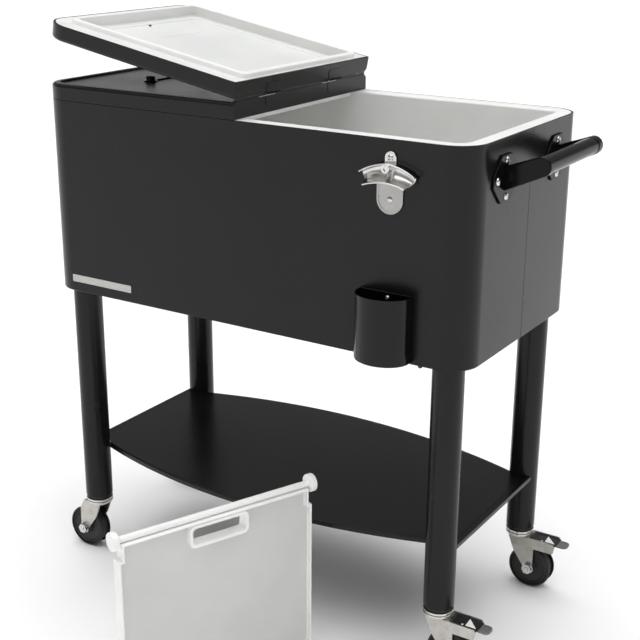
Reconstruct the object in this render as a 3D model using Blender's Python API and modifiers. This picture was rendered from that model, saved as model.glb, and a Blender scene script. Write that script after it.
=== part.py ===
# Rolling patio cooler: an insulated drinks cabinet on four tube legs, with two half lids hinged
# to each other, a push handle, a lower shelf, swivel casters, a wall opener with its cap cup,
# and a loose divider panel standing in front.
# Metres, +Z up. X runs along the cabinet toward the push handle, and the front faces -Y.
# The model is laid out with the cabinet over X = Y = 0 and the floor at Z = 0. The last step
# moves the whole group so that the middle of its footprint lies at the world's origin.

import math

import bmesh
import bpy
from mathutils import Matrix, Vector

# Fits and fineness
fit_gap = 0.0003
overrun = 0.002
weld_distance = 0.00001
corner_steps = 5
round_sides = 20
small_sides = 12

# Cabinet
cabinet_length = 0.780
cabinet_width = 0.385
cabinet_height = 0.321
cabinet_underside = 0.507
cabinet_corner = 0.046
sheet = 0.0012
bottom_return = 0.016
base_thickness = 0.0015
cabinet_top = cabinet_underside + cabinet_height
end_wall = cabinet_length / 2
side_wall = cabinet_width / 2

# Tub
tub_rim_width = 0.028
foam_under_tub = 0.0144
tub_wall = 0.003
tub_corner = 0.014
tub_draft = 0.006
tub_floor_radius = 0.008
floor_steps = 2
tub_half_length = end_wall - tub_rim_width
tub_half_width = side_wall - tub_rim_width
insulation_floor = cabinet_underside + sheet + fit_gap + base_thickness + fit_gap
tub_floor = insulation_floor + foam_under_tub + fit_gap + tub_wall
tub_depth = cabinet_top - tub_floor

# Drain, low in the left end
drain_from_side = 0.1025
drain_above_floor = 0.022
drain_bore = 0.007
drain_radius = 0.010
drain_flange_radius = 0.013
drain_flange_thickness = 0.0025
drain_reach = 0.012
drain_cap_radius = 0.0135
drain_cap_thickness = 0.0025
drain_y = side_wall - drain_from_side
drain_z = tub_floor + drain_above_floor

# Legs and their sockets
leg_inset_end = 0.043
leg_inset_side = 0.0375
leg_radius = 0.024
leg_wall = 0.0015
socket_flange = 0.0025
socket_depth = 0.045
socket_wall = 0.002
leg_x = end_wall - leg_inset_end
leg_y = side_wall - leg_inset_side

# Shelf and its end rails
shelf_top = 0.211
shelf_past_leg = 0.010
shelf_overhang = 0.0065
shelf_end_inset = 0.022
shelf_lip = 0.009
bow_steps = 12
rail_width = 0.0094
rail_height = 0.0086
rail_ledge = 0.012
rail_ledge_thickness = 0.0015
rail_ledge_setback = 0.008
shelf_half_length = leg_x + shelf_past_leg
shelf_apex = side_wall + shelf_overhang
shelf_end_half_width = leg_y - shelf_end_inset

# Lids, measured from the hinge axis in a frame that lies on the closed lid
lid_thickness = 0.0257
lid_edge_radius = 0.006
lid_edge_steps = 2
liner_thickness = 0.0025
rim_clearance_side = 0.0027
rim_clearance_end = 0.0032
rim_inset_hinge_end = 0.0153
rim_rise = 0.008
rim_width = 0.009
rim_corner_clearance = 0.002
tray_depth = 0.017
open_tilt_degrees = 10.4
rim_inset_side = tub_rim_width + rim_clearance_side
rim_inset_free_end = tub_rim_width + rim_clearance_end
rim_corner = tub_corner - rim_corner_clearance

# Lid hinges
hinge_lift = 0.002
hinge_from_middle = 0.089
hinge_length = 0.040
knuckle_length = 0.013
knuckle_radius = 0.0024
hinge_pin_radius = 0.0012
leaf_thickness = 0.0012
leaf_height = 0.018

# Bow handles on the lids
bow_from_hinge = 0.260
bow_half_span = 0.070
bow_radius = 0.0075
bow_bend = 0.013
bow_bend_steps = 5

# Push handle
handle_below_top = 0.0567
handle_half_span = 0.092
foot_thickness = 0.003
foot_half_width = 0.042
foot_half_height = 0.034
foot_flat_half_width = 0.016
foot_flat_half_height = 0.008
arm_thickness = 0.016
arm_root_half_height = 0.0175
eye_reach = 0.0565
eye_rise = 0.0227
eye_radius = 0.014
grip_radius = 0.013
grip_spigot_radius = 0.008
grip_spigot_length = 0.012
handle_z = cabinet_top - handle_below_top

# Bottle opener
opener_from_end = 0.125
opener_plate = 0.00275
opener_plate_half_width = 0.021
opener_tab_half_width = 0.009
opener_screw_below_top = 0.025
opener_screw_spacing = 0.059
upper_lip_half_width = 0.0435
upper_lip_drop = 0.008
upper_lip_arc_radius = 0.075
upper_lip_reach = 0.016
lower_lip_half_width = 0.033
lower_lip_drop = 0.031
lower_lip_arc_radius = 0.090
lower_lip_reach = 0.025
opener_lip_thickness = 0.004
web_from_lip_end = 0.003
tooth_radius = 0.007
tooth_drop = 0.013
tooth_reach = 0.019
screw_shank_radius = 0.002
screw_head_radius = 0.0045
screw_head_rise = 0.0022
dome_steps = 3
opener_x = end_wall - opener_from_end
opener_top_screw_z = cabinet_top - opener_screw_below_top
opener_low_screw_z = opener_top_screw_z - opener_screw_spacing
upper_lip_apex = opener_top_screw_z - upper_lip_drop
lower_lip_apex = opener_top_screw_z - lower_lip_drop
tooth_z = opener_top_screw_z - tooth_drop

# Cup that catches the caps
cup_from_end = 0.127
cup_half_width = 0.0435
cup_straight = 0.008
cup_depth = 0.045
cup_above_underside = 0.003
cup_height = 0.100
cup_wall = 0.002
cup_steps = 12
cup_x = end_wall - cup_from_end
cup_rim = cabinet_underside + cup_above_underside + cup_height

# Name strip, left bare
strip_from_end = 0.047
strip_length = 0.128
strip_above_underside = 0.0175
strip_height = 0.0125
strip_thickness = 0.0008
strip_left = strip_from_end - end_wall
strip_base = cabinet_underside + strip_above_underside

# Casters
wheel_radius = 0.038
wheel_width = 0.026
wheel_sides = 28
tread_round = 0.004
hub_radius = 0.013
wheel_dish = 0.003
trail = 0.026
axle_radius = 0.004
axle_head_radius = 0.007
axle_head_thickness = 0.004
axle_nut_thickness = 0.008
fork_sheet = 0.0025
fork_inner_half_width = 0.0145
crown_radius = 0.019
fork_over_wheel = 0.0189
crown_front = 0.024
fork_back = 0.014
fork_waist_x = 0.003
fork_waist_drop = 0.0289
fork_eye_radius = 0.0095
race_radius = 0.024
race_height = 0.0098
plug_drop = 0.0056
plug_height = 0.020
plug_taper = 0.002
kingpin_radius = 0.005
kingpin_head_radius = 0.008
kingpin_head_thickness = 0.0025
crown_top = 2 * wheel_radius + fork_over_wheel
race_low = crown_top + fit_gap
race_top = race_low + race_height
leg_foot = race_top + plug_drop
fork_waist_z = crown_top - fork_waist_drop

# Brake, on the two casters at the push handle's end
brake_arm_end = 0.0703
brake_arm_low_end = 0.0683
brake_arm_end_drop = 0.0029
brake_arm_depth = 0.015
brake_arm_inner_x = 0.033
brake_arm_inner_depth = 0.0169
pedal_pivot_x = 0.052
pedal_pivot_drop = 0.0089
pedal_pin_radius = 0.0025
pedal_barrel_radius = 0.004
pedal_back_x = 0.027
pedal_front_x = 0.072
pedal_top_drop = 0.0024
pedal_thickness = 0.002
toe_x = 0.090
toe_half_width = 0.0115
toe_thickness = 0.003
mark_radius = 0.0055
pedal_pivot_z = crown_top - pedal_pivot_drop
pedal_top = crown_top - pedal_top_drop

# Divider panel with its top rail
divider_length = 0.340
divider_half_width = 0.162
divider_height = 0.300
divider_depth = 0.020
divider_wall = 0.003
divider_corner = 0.028
divider_shoulder_drop = 0.036
divider_shoulder_inset = 0.006
divider_rod_radius = 0.005
divider_disc_radius = 0.014
divider_disc_thickness = 0.010
hand_hole_width = 0.089
hand_hole_height = 0.026
hand_hole_drop = 0.014
hand_collar = 0.005
hand_corner = 0.005
divider_x = 0.092
divider_y = -0.379
divider_yaw_degrees = 67.0

# Heights that follow
lid_underside = cabinet_top + fit_gap
hinge_z = lid_underside + lid_thickness + hinge_lift
lid_top_v = -hinge_lift
lid_low_v = lid_top_v - lid_thickness
lid_start = fit_gap + leaf_thickness + fit_gap
leg_top = cabinet_underside - fit_gap - socket_flange - fit_gap

model = bpy.data.collections.new("rolling_patio_cooler")
cutter_set = bpy.data.collections.new("cutters")


def clear_scene():
    for old in list(bpy.data.objects):
        bpy.data.objects.remove(old, do_unlink=True)
    bpy.context.scene.collection.children.link(model)
    bpy.context.scene.collection.children.link(cutter_set)


def material(name, color, roughness, metallic):
    made = bpy.data.materials.new(name)
    made.use_nodes = True
    surface = made.node_tree.nodes["Principled BSDF"]
    surface.inputs["Base Color"].default_value = (*color, 1)
    surface.inputs["Roughness"].default_value = roughness
    surface.inputs["Metallic"].default_value = metallic
    return made


def group(name, parent, place=(0, 0, 0), turn=None):
    empty = bpy.data.objects.new(name, None)
    model.objects.link(empty)
    empty.parent = parent
    empty.matrix_local = Matrix.Translation(place) @ (turn if turn else Matrix())
    return empty


def add_object(name, mesh, parent):
    made = bpy.data.objects.new(name, mesh)
    model.objects.link(made)
    made.parent = parent
    return made


def mesh_from(shape, name):
    mesh = bpy.data.meshes.new(name)
    shape.to_mesh(mesh)
    shape.free()
    return mesh


def block(name, low, high, parent):
    size = [top - base for base, top in zip(low, high)]
    middle = [(top + base) / 2 for base, top in zip(low, high)]
    shape = bmesh.new()
    bmesh.ops.create_cube(shape, size=1, matrix=Matrix.Translation(middle) @ Matrix.Diagonal((*size, 1)))
    return add_object(name, mesh_from(shape, name), parent)


# Turns a shape drawn in X and Y, with its height along Z, so that the height lies along another axis
axis_turns = {
    "Z": Matrix(),
    "Y": Matrix(((1, 0, 0, 0), (0, 0, -1, 0), (0, 1, 0, 0), (0, 0, 0, 1))),
    "X": Matrix(((0, 0, 1, 0), (1, 0, 0, 0), (0, 1, 0, 0), (0, 0, 0, 1))),
}
axis_steps = {"X": Vector((1, 0, 0)), "Y": Vector((0, 1, 0)), "Z": Vector((0, 0, 1))}


def cylinder(name, radius, low, high, parent, middle=(0, 0, 0), along="Z", sides=round_sides):
    shape = bmesh.new()
    shift = Vector(middle) + axis_steps[along] * ((low + high) / 2)
    matrix = Matrix.Translation(shift) @ axis_turns[along]
    bmesh.ops.create_cone(shape, cap_ends=True, segments=sides, radius1=radius, radius2=radius,
                          depth=high - low, matrix=matrix)
    return add_object(name, mesh_from(shape, name), parent)


# A solid turned about Z, or about the axis named, from (radius, height) pairs that run down its
# outer side. A closed profile makes a ring, and an open one starts and ends on the axis.
def turned(name, profile, parent, middle=(0, 0, 0), along="Z", sides=round_sides, closed=False):
    shape = bmesh.new()
    corners = [shape.verts.new((radius, 0, height)) for radius, height in profile]
    for first, second in zip(corners, corners[1:]):
        shape.edges.new((first, second))
    if closed:
        shape.edges.new((corners[-1], corners[0]))
    made = add_object(name, mesh_from(shape, name), parent)
    made.matrix_local = Matrix.Translation(middle) @ axis_turns[along]
    screw = made.modifiers.new("Turn", "SCREW")
    screw.steps = sides
    screw.render_steps = sides
    screw.use_merge_vertices = True
    screw.merge_threshold = weld_distance
    return made


def curve_to_mesh(made):
    bpy.context.view_layer.update()
    evaluated = made.evaluated_get(bpy.context.evaluated_depsgraph_get())
    mesh = bpy.data.meshes.new_from_object(evaluated)
    shape = bmesh.new()
    shape.from_mesh(mesh)
    bmesh.ops.remove_doubles(shape, verts=shape.verts, dist=weld_distance)
    bmesh.ops.recalc_face_normals(shape, faces=shape.faces)
    flat = [edge for edge in shape.edges
            if len(edge.link_faces) == 2 and edge.calc_face_angle() < weld_distance]
    bmesh.ops.dissolve_edges(shape, edges=flat, use_verts=False)
    shape.to_mesh(mesh)
    shape.free()
    solid = bpy.data.objects.new(made.name, mesh)
    model.objects.link(solid)
    solid.parent = made.parent
    solid.matrix_world = made.matrix_world
    bpy.data.objects.remove(made)
    return solid


# A flat outline with straight sides, extruded between two heights along an axis
def prism(name, outline, low, high, parent, along="Z"):
    curve = bpy.data.curves.new(name, "CURVE")
    curve.dimensions = "2D"
    curve.fill_mode = "BOTH"
    curve.extrude = (high - low) / 2
    spline = curve.splines.new("POLY")
    spline.points.add(len(outline) - 1)
    for point, corner in zip(spline.points, outline):
        point.co = (*corner, 0, 1)
    spline.use_cyclic_u = True
    made = bpy.data.objects.new(name + "_outline", curve)
    model.objects.link(made)
    made.parent = parent
    made.matrix_local = Matrix.Translation(axis_steps[along] * ((low + high) / 2)) @ axis_turns[along]
    solid = curve_to_mesh(made)
    solid.name = name
    return solid


def tube(name, points, radius, parent):
    curve = bpy.data.curves.new(name, "CURVE")
    curve.dimensions = "3D"
    curve.bevel_depth = radius
    curve.bevel_resolution = 3
    curve.use_fill_caps = True
    spline = curve.splines.new("POLY")
    spline.points.add(len(points) - 1)
    for point, place in zip(spline.points, points):
        point.co = (*place, 1)
    made = bpy.data.objects.new(name + "_path", curve)
    model.objects.link(made)
    made.parent = parent
    solid = curve_to_mesh(made)
    solid.name = name
    return solid


def arc(center_a, center_b, radius, start_degrees, end_degrees, steps, radius_b=None):
    second = radius if radius_b is None else radius_b
    points = []
    for step in range(steps + 1):
        angle = math.radians(start_degrees + (end_degrees - start_degrees) * step / steps)
        points.append((center_a + radius * math.cos(angle), center_b + second * math.sin(angle)))
    return points


# Corners of a rectangle from low to high, each rounded by its own radius: low-low, high-low,
# high-high and low-high
def rounded_rectangle(low_a, high_a, low_b, high_b, radii, steps=corner_steps):
    points = []
    places = ((low_a, low_b, 180), (high_a, low_b, 270), (high_a, high_b, 0), (low_a, high_b, 90))
    for radius, (corner_a, corner_b, start) in zip(radii, places):
        if radius <= 0:
            points.append((corner_a, corner_b))
            continue
        center_a = corner_a + radius if corner_a == low_a else corner_a - radius
        center_b = corner_b + radius if corner_b == low_b else corner_b - radius
        points += arc(center_a, center_b, radius, start, start + 90, steps)
    return points


def cabinet_outline(inset):
    half_length = end_wall - inset
    half_width = side_wall - inset
    radius = cabinet_corner - inset
    return rounded_rectangle(-half_length, half_length, -half_width, half_width, [radius] * 4)


def modifier(target, kind, other):
    step = target.modifiers.new(kind.title(), "BOOLEAN")
    step.operation = kind
    step.solver = "EXACT"
    step.object = other
    if other.name not in cutter_set.objects:
        model.objects.unlink(other)
        cutter_set.objects.link(other)
        other.hide_render = True
        other.display_type = "WIRE"


def cut(target, *cutters):
    for other in cutters:
        modifier(target, "DIFFERENCE", other)


def join(target, *others):
    for other in others:
        modifier(target, "UNION", other)


# Marks the edges of a prism that lie at one height, for the Bevel that rounds them
def round_edges(target, height, width, steps, keep=None):
    mesh = target.data
    weights = mesh.attributes.new("bevel_weight_edge", "FLOAT", "EDGE")
    for edge in mesh.edges:
        ends = [mesh.vertices[index].co for index in edge.vertices]
        level = all(abs(end.z - height) < weld_distance for end in ends)
        if level and not (keep and all(keep(end) for end in ends)):
            weights.data[edge.index].value = 1
    bevel = target.modifiers.new("Rounded edge", "BEVEL")
    bevel.width = width
    bevel.segments = steps
    bevel.limit_method = "WEIGHT"
    bevel.use_clamp_overlap = False


def finish(target, look, smooth_degrees=35):
    target.data.materials.clear()
    target.data.materials.append(look)
    target.data.shade_smooth()
    if target.data.polygons:
        target.data.set_sharp_from_angle(angle=math.radians(smooth_degrees))
    return target


def narrow_at(mesh_object, height, scale_x, scale_y):
    for vertex in mesh_object.data.vertices:
        if abs(vertex.co.z - height) < weld_distance:
            vertex.co.x *= scale_x
            vertex.co.y *= scale_y


# Cabinet shells, base, tub and foam
def tub_form(name, grow, floor, top, parent):
    half_length = tub_half_length + grow
    half_width = tub_half_width + grow
    radii = [tub_corner + grow] * 4
    outline = rounded_rectangle(-half_length, half_length, -half_width, half_width, radii)
    form = prism(name, outline, floor, top, parent)
    middle = (top + floor) / 2
    share = tub_draft / tub_depth * (top - floor)
    narrow_at(form, floor - middle, 1 - share / half_length, 1 - share / half_width)
    round_edges(form, floor - middle, tub_floor_radius + grow, floor_steps)
    return form


def cabinet(root, looks):
    drain_hole = cylinder("drain_hole", drain_radius + fit_gap, -end_wall - overrun,
                          -tub_half_length + tub_rim_width, root,
                          middle=(0, drain_y, drain_z), along="X")
    inner = prism("shell_inner", cabinet_outline(sheet), cabinet_underside + sheet,
                  cabinet_top + overrun, root)
    window = prism("shell_window", cabinet_outline(sheet + bottom_return),
                   cabinet_underside - overrun, cabinet_underside + sheet + overrun, root)
    for name, side in (("front_shell", -1), ("rear_shell", 1)):
        shell = prism(name, cabinet_outline(0), cabinet_underside, cabinet_top, root)
        across = sorted((side * fit_gap / 2, -side * (side_wall + overrun)))
        other_half = block(name + "_trim", (-end_wall - overrun, across[0], cabinet_underside - overrun),
                           (end_wall + overrun, across[1], cabinet_top + overrun), root)
        cut(shell, inner, window, other_half)
        if side > 0:
            cut(shell, drain_hole)
        finish(shell, looks["painted_steel"])
    panel_low = cabinet_underside + sheet + fit_gap
    panel = prism("base_panel", cabinet_outline(sheet + fit_gap), panel_low,
                  panel_low + base_thickness, root)
    finish(panel, looks["galvanised"])
    flange_low = cabinet_top - tub_wall
    tub = prism("tub", cabinet_outline(sheet + fit_gap), flange_low, cabinet_top, root)
    basin = tub_form("tub_basin", tub_wall, tub_floor - tub_wall, flange_low + tub_wall / 2, root)
    hollow = tub_form("tub_hollow", 0, tub_floor, cabinet_top + overrun, root)
    join(tub, basin)
    cut(tub, hollow, drain_hole)
    finish(tub, looks["tub_plastic"])
    foam = prism("insulation", cabinet_outline(sheet + fit_gap), insulation_floor,
                 flange_low - fit_gap, root)
    basin_space = tub_form("basin_space", tub_wall + fit_gap, tub_floor - tub_wall - fit_gap,
                           flange_low + overrun, root)
    cut(foam, basin_space, drain_hole)
    finish(foam, looks["foam"])


def drain(root, looks):
    lowest = drain_z - drain_flange_radius
    wall_x = -tub_half_length + tub_draft * (cabinet_top - lowest) / tub_depth
    flange_face = wall_x + fit_gap
    spout_end = -end_wall - drain_reach
    spout = turned("drain_spout", [
        (drain_bore, flange_face + drain_flange_thickness),
        (drain_flange_radius, flange_face + drain_flange_thickness),
        (drain_flange_radius, flange_face),
        (drain_radius, flange_face),
        (drain_radius, spout_end),
        (drain_bore, spout_end),
    ], root, middle=(0, drain_y, drain_z), along="X", closed=True)
    finish(spout, looks["tub_plastic"])
    axis = group("drain_cap_axis", root, (spout_end, drain_y, drain_z))
    open_end = drain_reach - fit_gap
    closed_end = -fit_gap - drain_cap_thickness
    cap = turned("drain_cap", [
        (0, -fit_gap),
        (drain_radius + fit_gap, -fit_gap),
        (drain_radius + fit_gap, open_end),
        (drain_cap_radius, open_end),
        (drain_cap_radius, closed_end),
        (0, closed_end),
    ], axis, along="X")
    finish(cap, looks["black_plastic"])


# Legs, sockets, shelf and rails
def leg_corners():
    for end_name, x, heading in (("left", -leg_x, 180), ("right", leg_x, 0)):
        for side_name, y in (("front", -leg_y), ("rear", leg_y)):
            yield side_name + "_" + end_name, x, y, heading


def legs(root, looks):
    inner = leg_radius - leg_wall
    spigot = inner - fit_gap
    for name, x, y, _ in leg_corners():
        leg = turned("leg_" + name, [(inner, leg_top), (leg_radius, leg_top), (leg_radius, leg_foot),
                                     (inner, leg_foot)], root, middle=(x, y, 0), closed=True)
        finish(leg, looks["painted_steel"])
        top = cabinet_underside - fit_gap
        under = top - socket_flange
        socket = turned("leg_socket_" + name, [
            (0, top), (leg_radius, top), (leg_radius, under), (spigot, under),
            (spigot, under - socket_depth), (spigot - socket_wall, under - socket_depth),
            (spigot - socket_wall, under), (0, under),
        ], root, middle=(x, y, 0))
        finish(socket, looks["painted_steel"])


def bowed_outline(half_length, shrink):
    sagitta = shelf_apex - shelf_end_half_width
    radius = (shelf_half_length ** 2 + sagitta ** 2) / (2 * sagitta)
    center = shelf_apex - radius
    radius -= shrink
    points = []
    for side in (-1, 1):
        for step in range(bow_steps + 1):
            x = -side * half_length * (1 - 2 * step / bow_steps)
            points.append((x, side * (center + math.sqrt(radius ** 2 - x ** 2))))
    return points


def shelf(root, looks):
    low = shelf_top - shelf_lip
    plate = prism("shelf", bowed_outline(shelf_half_length, 0), low, shelf_top, root)
    under = prism("shelf_underside", bowed_outline(shelf_half_length + overrun, sheet), low - overrun,
                  shelf_top - sheet, root)
    notches = [cylinder("leg_notch_" + name, leg_radius + fit_gap, low - overrun - rail_height,
                        shelf_top + overrun, root, middle=(x, y, 0)) for name, x, y, _ in leg_corners()]
    cut(plate, under, *notches)
    finish(plate, looks["painted_steel"])
    ledge_top = shelf_top - sheet - fit_gap
    ledge_low = ledge_top - rail_ledge_thickness
    ledge_half = shelf_end_half_width - rail_ledge_setback
    for name, side in (("left", -1), ("right", 1)):
        near = side * (shelf_half_length + fit_gap)
        far = side * (shelf_half_length + fit_gap + rail_width)
        rail = block("shelf_rail_" + name, (min(near, far), -leg_y, shelf_top - rail_height),
                     (max(near, far), leg_y, shelf_top), root)
        tip = near - side * rail_ledge
        root_x = near + side * rail_width / 2
        ledge = block("rail_ledge_" + name, (min(tip, root_x), -ledge_half, ledge_low),
                      (max(tip, root_x), ledge_half, ledge_top), root)
        join(rail, ledge)
        ends = [notch for notch in notches if notch.name.endswith(name)]
        cut(rail, *ends)
        finish(rail, looks["painted_steel"])


# Casters
def caster_stem(name, swivel, looks):
    plug = leg_radius - leg_wall - fit_gap
    head_top = crown_top - fork_sheet - fit_gap
    stem = turned("caster_stem_" + name, [
        (0, leg_foot + plug_height), (plug, leg_foot + plug_height), (plug, leg_foot),
        (plug - plug_taper, race_top), (race_radius, race_top), (race_radius, race_low),
        (kingpin_radius, race_low), (kingpin_radius, head_top), (kingpin_head_radius, head_top),
        (kingpin_head_radius, head_top - kingpin_head_thickness), (0, head_top - kingpin_head_thickness),
    ], swivel)
    finish(stem, looks["black_plastic"])


def fork_side_outline(brake):
    points = [(-fork_back, crown_top), (-fork_waist_x, fork_waist_z)]
    points += arc(trail, wheel_radius, fork_eye_radius, 190, 370, 8)
    if brake:
        points += [
            (brake_arm_inner_x, crown_top - brake_arm_inner_depth),
            (brake_arm_low_end, crown_top - brake_arm_depth),
            (brake_arm_end, crown_top - brake_arm_end_drop),
            (brake_arm_end - brake_arm_end_drop, crown_top),
        ]
    else:
        points += [(brake_arm_inner_x, crown_top - brake_arm_inner_depth), (crown_front, crown_top)]
    return points


def caster_fork(name, swivel, brake, looks):
    outer = fork_inner_half_width + fork_sheet
    crown_low = crown_top - fork_sheet
    fork = cylinder("caster_fork_" + name, crown_radius, crown_low, crown_top, swivel)
    deck = block("fork_deck_" + name, (-fork_back + fork_sheet, -outer + fork_sheet / 2, crown_low),
                 (crown_front, outer - fork_sheet / 2, crown_top), swivel)
    sides = [prism("fork_side_" + name + side_name, fork_side_outline(brake), low, low + fork_sheet,
                   swivel, along="Y")
             for side_name, low in (("_a", -outer), ("_b", fork_inner_half_width))]
    join(fork, deck, *sides)
    bore = cylinder("fork_bore_" + name, kingpin_radius + fit_gap, crown_low - overrun,
                    crown_top + overrun, swivel, sides=small_sides)
    axle_hole = cylinder("fork_axle_hole_" + name, axle_radius + fit_gap, -outer - overrun,
                         outer + overrun, swivel, middle=(trail, 0, wheel_radius), along="Y",
                         sides=small_sides)
    cut(fork, bore, axle_hole)
    if brake:
        pin_hole = cylinder("fork_pedal_hole_" + name, pedal_pin_radius + fit_gap, -outer - overrun,
                            outer + overrun, swivel, middle=(pedal_pivot_x, 0, pedal_pivot_z),
                            along="Y", sides=small_sides)
        cut(fork, pin_hole)
    finish(fork, looks["zinc"])


def caster_wheel(name, axle_axis, looks):
    half = wheel_width / 2
    hub_half = fork_inner_half_width - fit_gap
    bore = axle_radius + fit_gap
    side = [(bore, hub_half), (hub_radius, hub_half), (hub_radius, half - wheel_dish),
            (wheel_radius - 2 * tread_round, half), (wheel_radius - tread_round / 3, half - tread_round / 3),
            (wheel_radius, half - tread_round)]
    profile = side + [(radius, -height) for radius, height in reversed(side)]
    wheel = turned("caster_wheel_" + name, profile, axle_axis, along="Y", sides=wheel_sides, closed=True)
    finish(wheel, looks["rubber"])


def caster_axle(name, swivel, heading, looks):
    outer = fork_inner_half_width + fork_sheet + fit_gap
    # The nut faces the front of the cooler on every caster
    nut = outer + axle_nut_thickness
    head = outer + axle_head_thickness
    first, last = (nut, head) if heading == 0 else (head, nut)
    axle = turned("caster_axle_" + name, [
        (0, first), (axle_head_radius, first), (axle_head_radius, outer), (axle_radius, outer),
        (axle_radius, -outer), (axle_head_radius, -outer), (axle_head_radius, -last), (0, -last),
    ], swivel, middle=(trail, 0, wheel_radius), along="Y", sides=small_sides)
    finish(axle, looks["zinc"])


def brake_pedal(name, pedal_axis, looks):
    half = fork_inner_half_width - fit_gap
    top = pedal_top - pedal_pivot_z
    low = top - pedal_thickness
    back = pedal_back_x - pedal_pivot_x
    front = pedal_front_x - pedal_pivot_x
    toe = toe_x - pedal_pivot_x
    pedal = block("brake_pedal_" + name, (back, -half, low), (front, half, top), pedal_axis)
    round_off = toe_half_width / 2
    tab_outline = rounded_rectangle(front - pedal_thickness, toe, -toe_half_width, toe_half_width,
                                    (0, round_off, round_off, 0), 3)
    tab = prism("pedal_tab_" + name, tab_outline, top - toe_thickness, top, pedal_axis)
    barrel = cylinder("pedal_barrel_" + name, pedal_barrel_radius, -half, half, pedal_axis, along="Y",
                      sides=small_sides)
    web = block("pedal_web_" + name, (-pedal_barrel_radius / 2, -half + fit_gap, 0),
                (pedal_barrel_radius / 2, half - fit_gap, low + pedal_thickness / 2), pedal_axis)
    reach = fork_inner_half_width + fork_sheet
    pin = cylinder("pedal_pin_" + name, pedal_pin_radius, -reach, reach, pedal_axis, along="Y",
                   sides=small_sides)
    join(pedal, tab, web, barrel, pin)
    mark = cylinder("pedal_mark_" + name, mark_radius, low - overrun, top + overrun, pedal_axis,
                    middle=((toe + pedal_barrel_radius) / 2 - mark_radius, 0, 0), sides=3)
    cut(pedal, mark)
    finish(pedal, looks["black_plastic"])


def casters(root, looks):
    for name, x, y, heading in leg_corners():
        brake = name.endswith("right")
        turn = Matrix.Rotation(math.radians(heading), 4, "Z")
        swivel = group("swivel_axis_" + name, root, (x, y, 0), turn)
        axle_axis = group("wheel_axis_" + name, swivel, (trail, 0, wheel_radius))
        caster_stem(name, swivel, looks)
        caster_fork(name, swivel, brake, looks)
        caster_wheel(name, axle_axis, looks)
        caster_axle(name, swivel, heading, looks)
        if brake:
            pedal_axis = group("pedal_axis_" + name, swivel, (pedal_pivot_x, 0, pedal_pivot_z))
            brake_pedal(name, pedal_axis, looks)


# Lids, each built in the frame of its hinge axis with X toward its free end
def lid_outline(inset, hinge_inset=None):
    start = lid_start + (inset if hinge_inset is None else hinge_inset)
    half = side_wall - inset
    radius = cabinet_corner - inset
    return rounded_rectangle(start, end_wall - inset, -half, half, (0, radius, radius, 0))


def rim_outline(grow):
    low = lid_start + rim_inset_hinge_end - grow
    high = end_wall - rim_inset_free_end + grow
    half = side_wall - rim_inset_side + grow
    radius = max(rim_corner + grow, 0)
    return rounded_rectangle(low, high, -half, half, [radius] * 4, 3)


def lid_shell(name, axis, looks):
    middle = (lid_low_v + lid_top_v) / 2
    shell = prism("lid_shell_" + name, lid_outline(0), lid_low_v, lid_top_v, axis)
    round_edges(shell, lid_top_v - middle, lid_edge_radius, lid_edge_steps,
                keep=lambda end: abs(end.x - lid_start) < weld_distance)
    inner_top = lid_top_v - sheet
    inner = prism("lid_hollow_" + name, lid_outline(sheet), lid_low_v - overrun, inner_top, axis)
    round_edges(inner, (inner_top - lid_low_v + overrun) / 2, lid_edge_radius, lid_edge_steps)
    cut(shell, inner)
    finish(shell, looks["painted_steel"])


def lid_liner(name, axis, looks):
    rim_tip = lid_low_v - rim_rise
    tray_floor = rim_tip + tray_depth
    liner = prism("lid_liner_" + name, lid_outline(sheet + fit_gap), lid_low_v,
                  lid_low_v + liner_thickness, axis)
    plug = prism("lid_plug_" + name, rim_outline(0), rim_tip, tray_floor + liner_thickness, axis)
    tray = prism("lid_tray_" + name, rim_outline(-rim_width), rim_tip - overrun, tray_floor, axis)
    join(liner, plug)
    cut(liner, tray)
    finish(liner, looks["tub_plastic"])


def lid_foam(name, axis, looks):
    tray_back = lid_low_v - rim_rise + tray_depth + liner_thickness
    inset = sheet + lid_edge_radius
    foam = prism("lid_foam_" + name, lid_outline(inset), lid_low_v + liner_thickness + fit_gap,
                 lid_top_v - sheet - fit_gap, axis)
    plug_space = prism("lid_foam_space_" + name, rim_outline(fit_gap), lid_low_v,
                       tray_back + fit_gap, axis)
    cut(foam, plug_space)
    finish(foam, looks["foam"])


def bow_axis_height():
    half_tilt = math.radians(open_tilt_degrees / 2)
    return (bow_from_hinge * math.sin(half_tilt) - bow_radius - fit_gap / 2) / math.cos(half_tilt)


# The two bows stand back to back while one lid lies folded on the other, so their height
# follows from the tilt of the folded lid
def lid_handle(name, axis, looks):
    foot = lid_top_v + fit_gap
    bar = bow_axis_height()
    bends = arc(bow_half_span - bow_bend, bar - bow_bend, bow_bend, 0, 90, bow_bend_steps)
    half_path = [(bow_half_span, foot)] + bends
    path = half_path + [(-across, height) for across, height in reversed(half_path)]
    points = [(bow_from_hinge, across, height) for across, height in path]
    finish(tube("lid_handle_" + name, points, bow_radius, axis), looks["gloss_black"])


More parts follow.
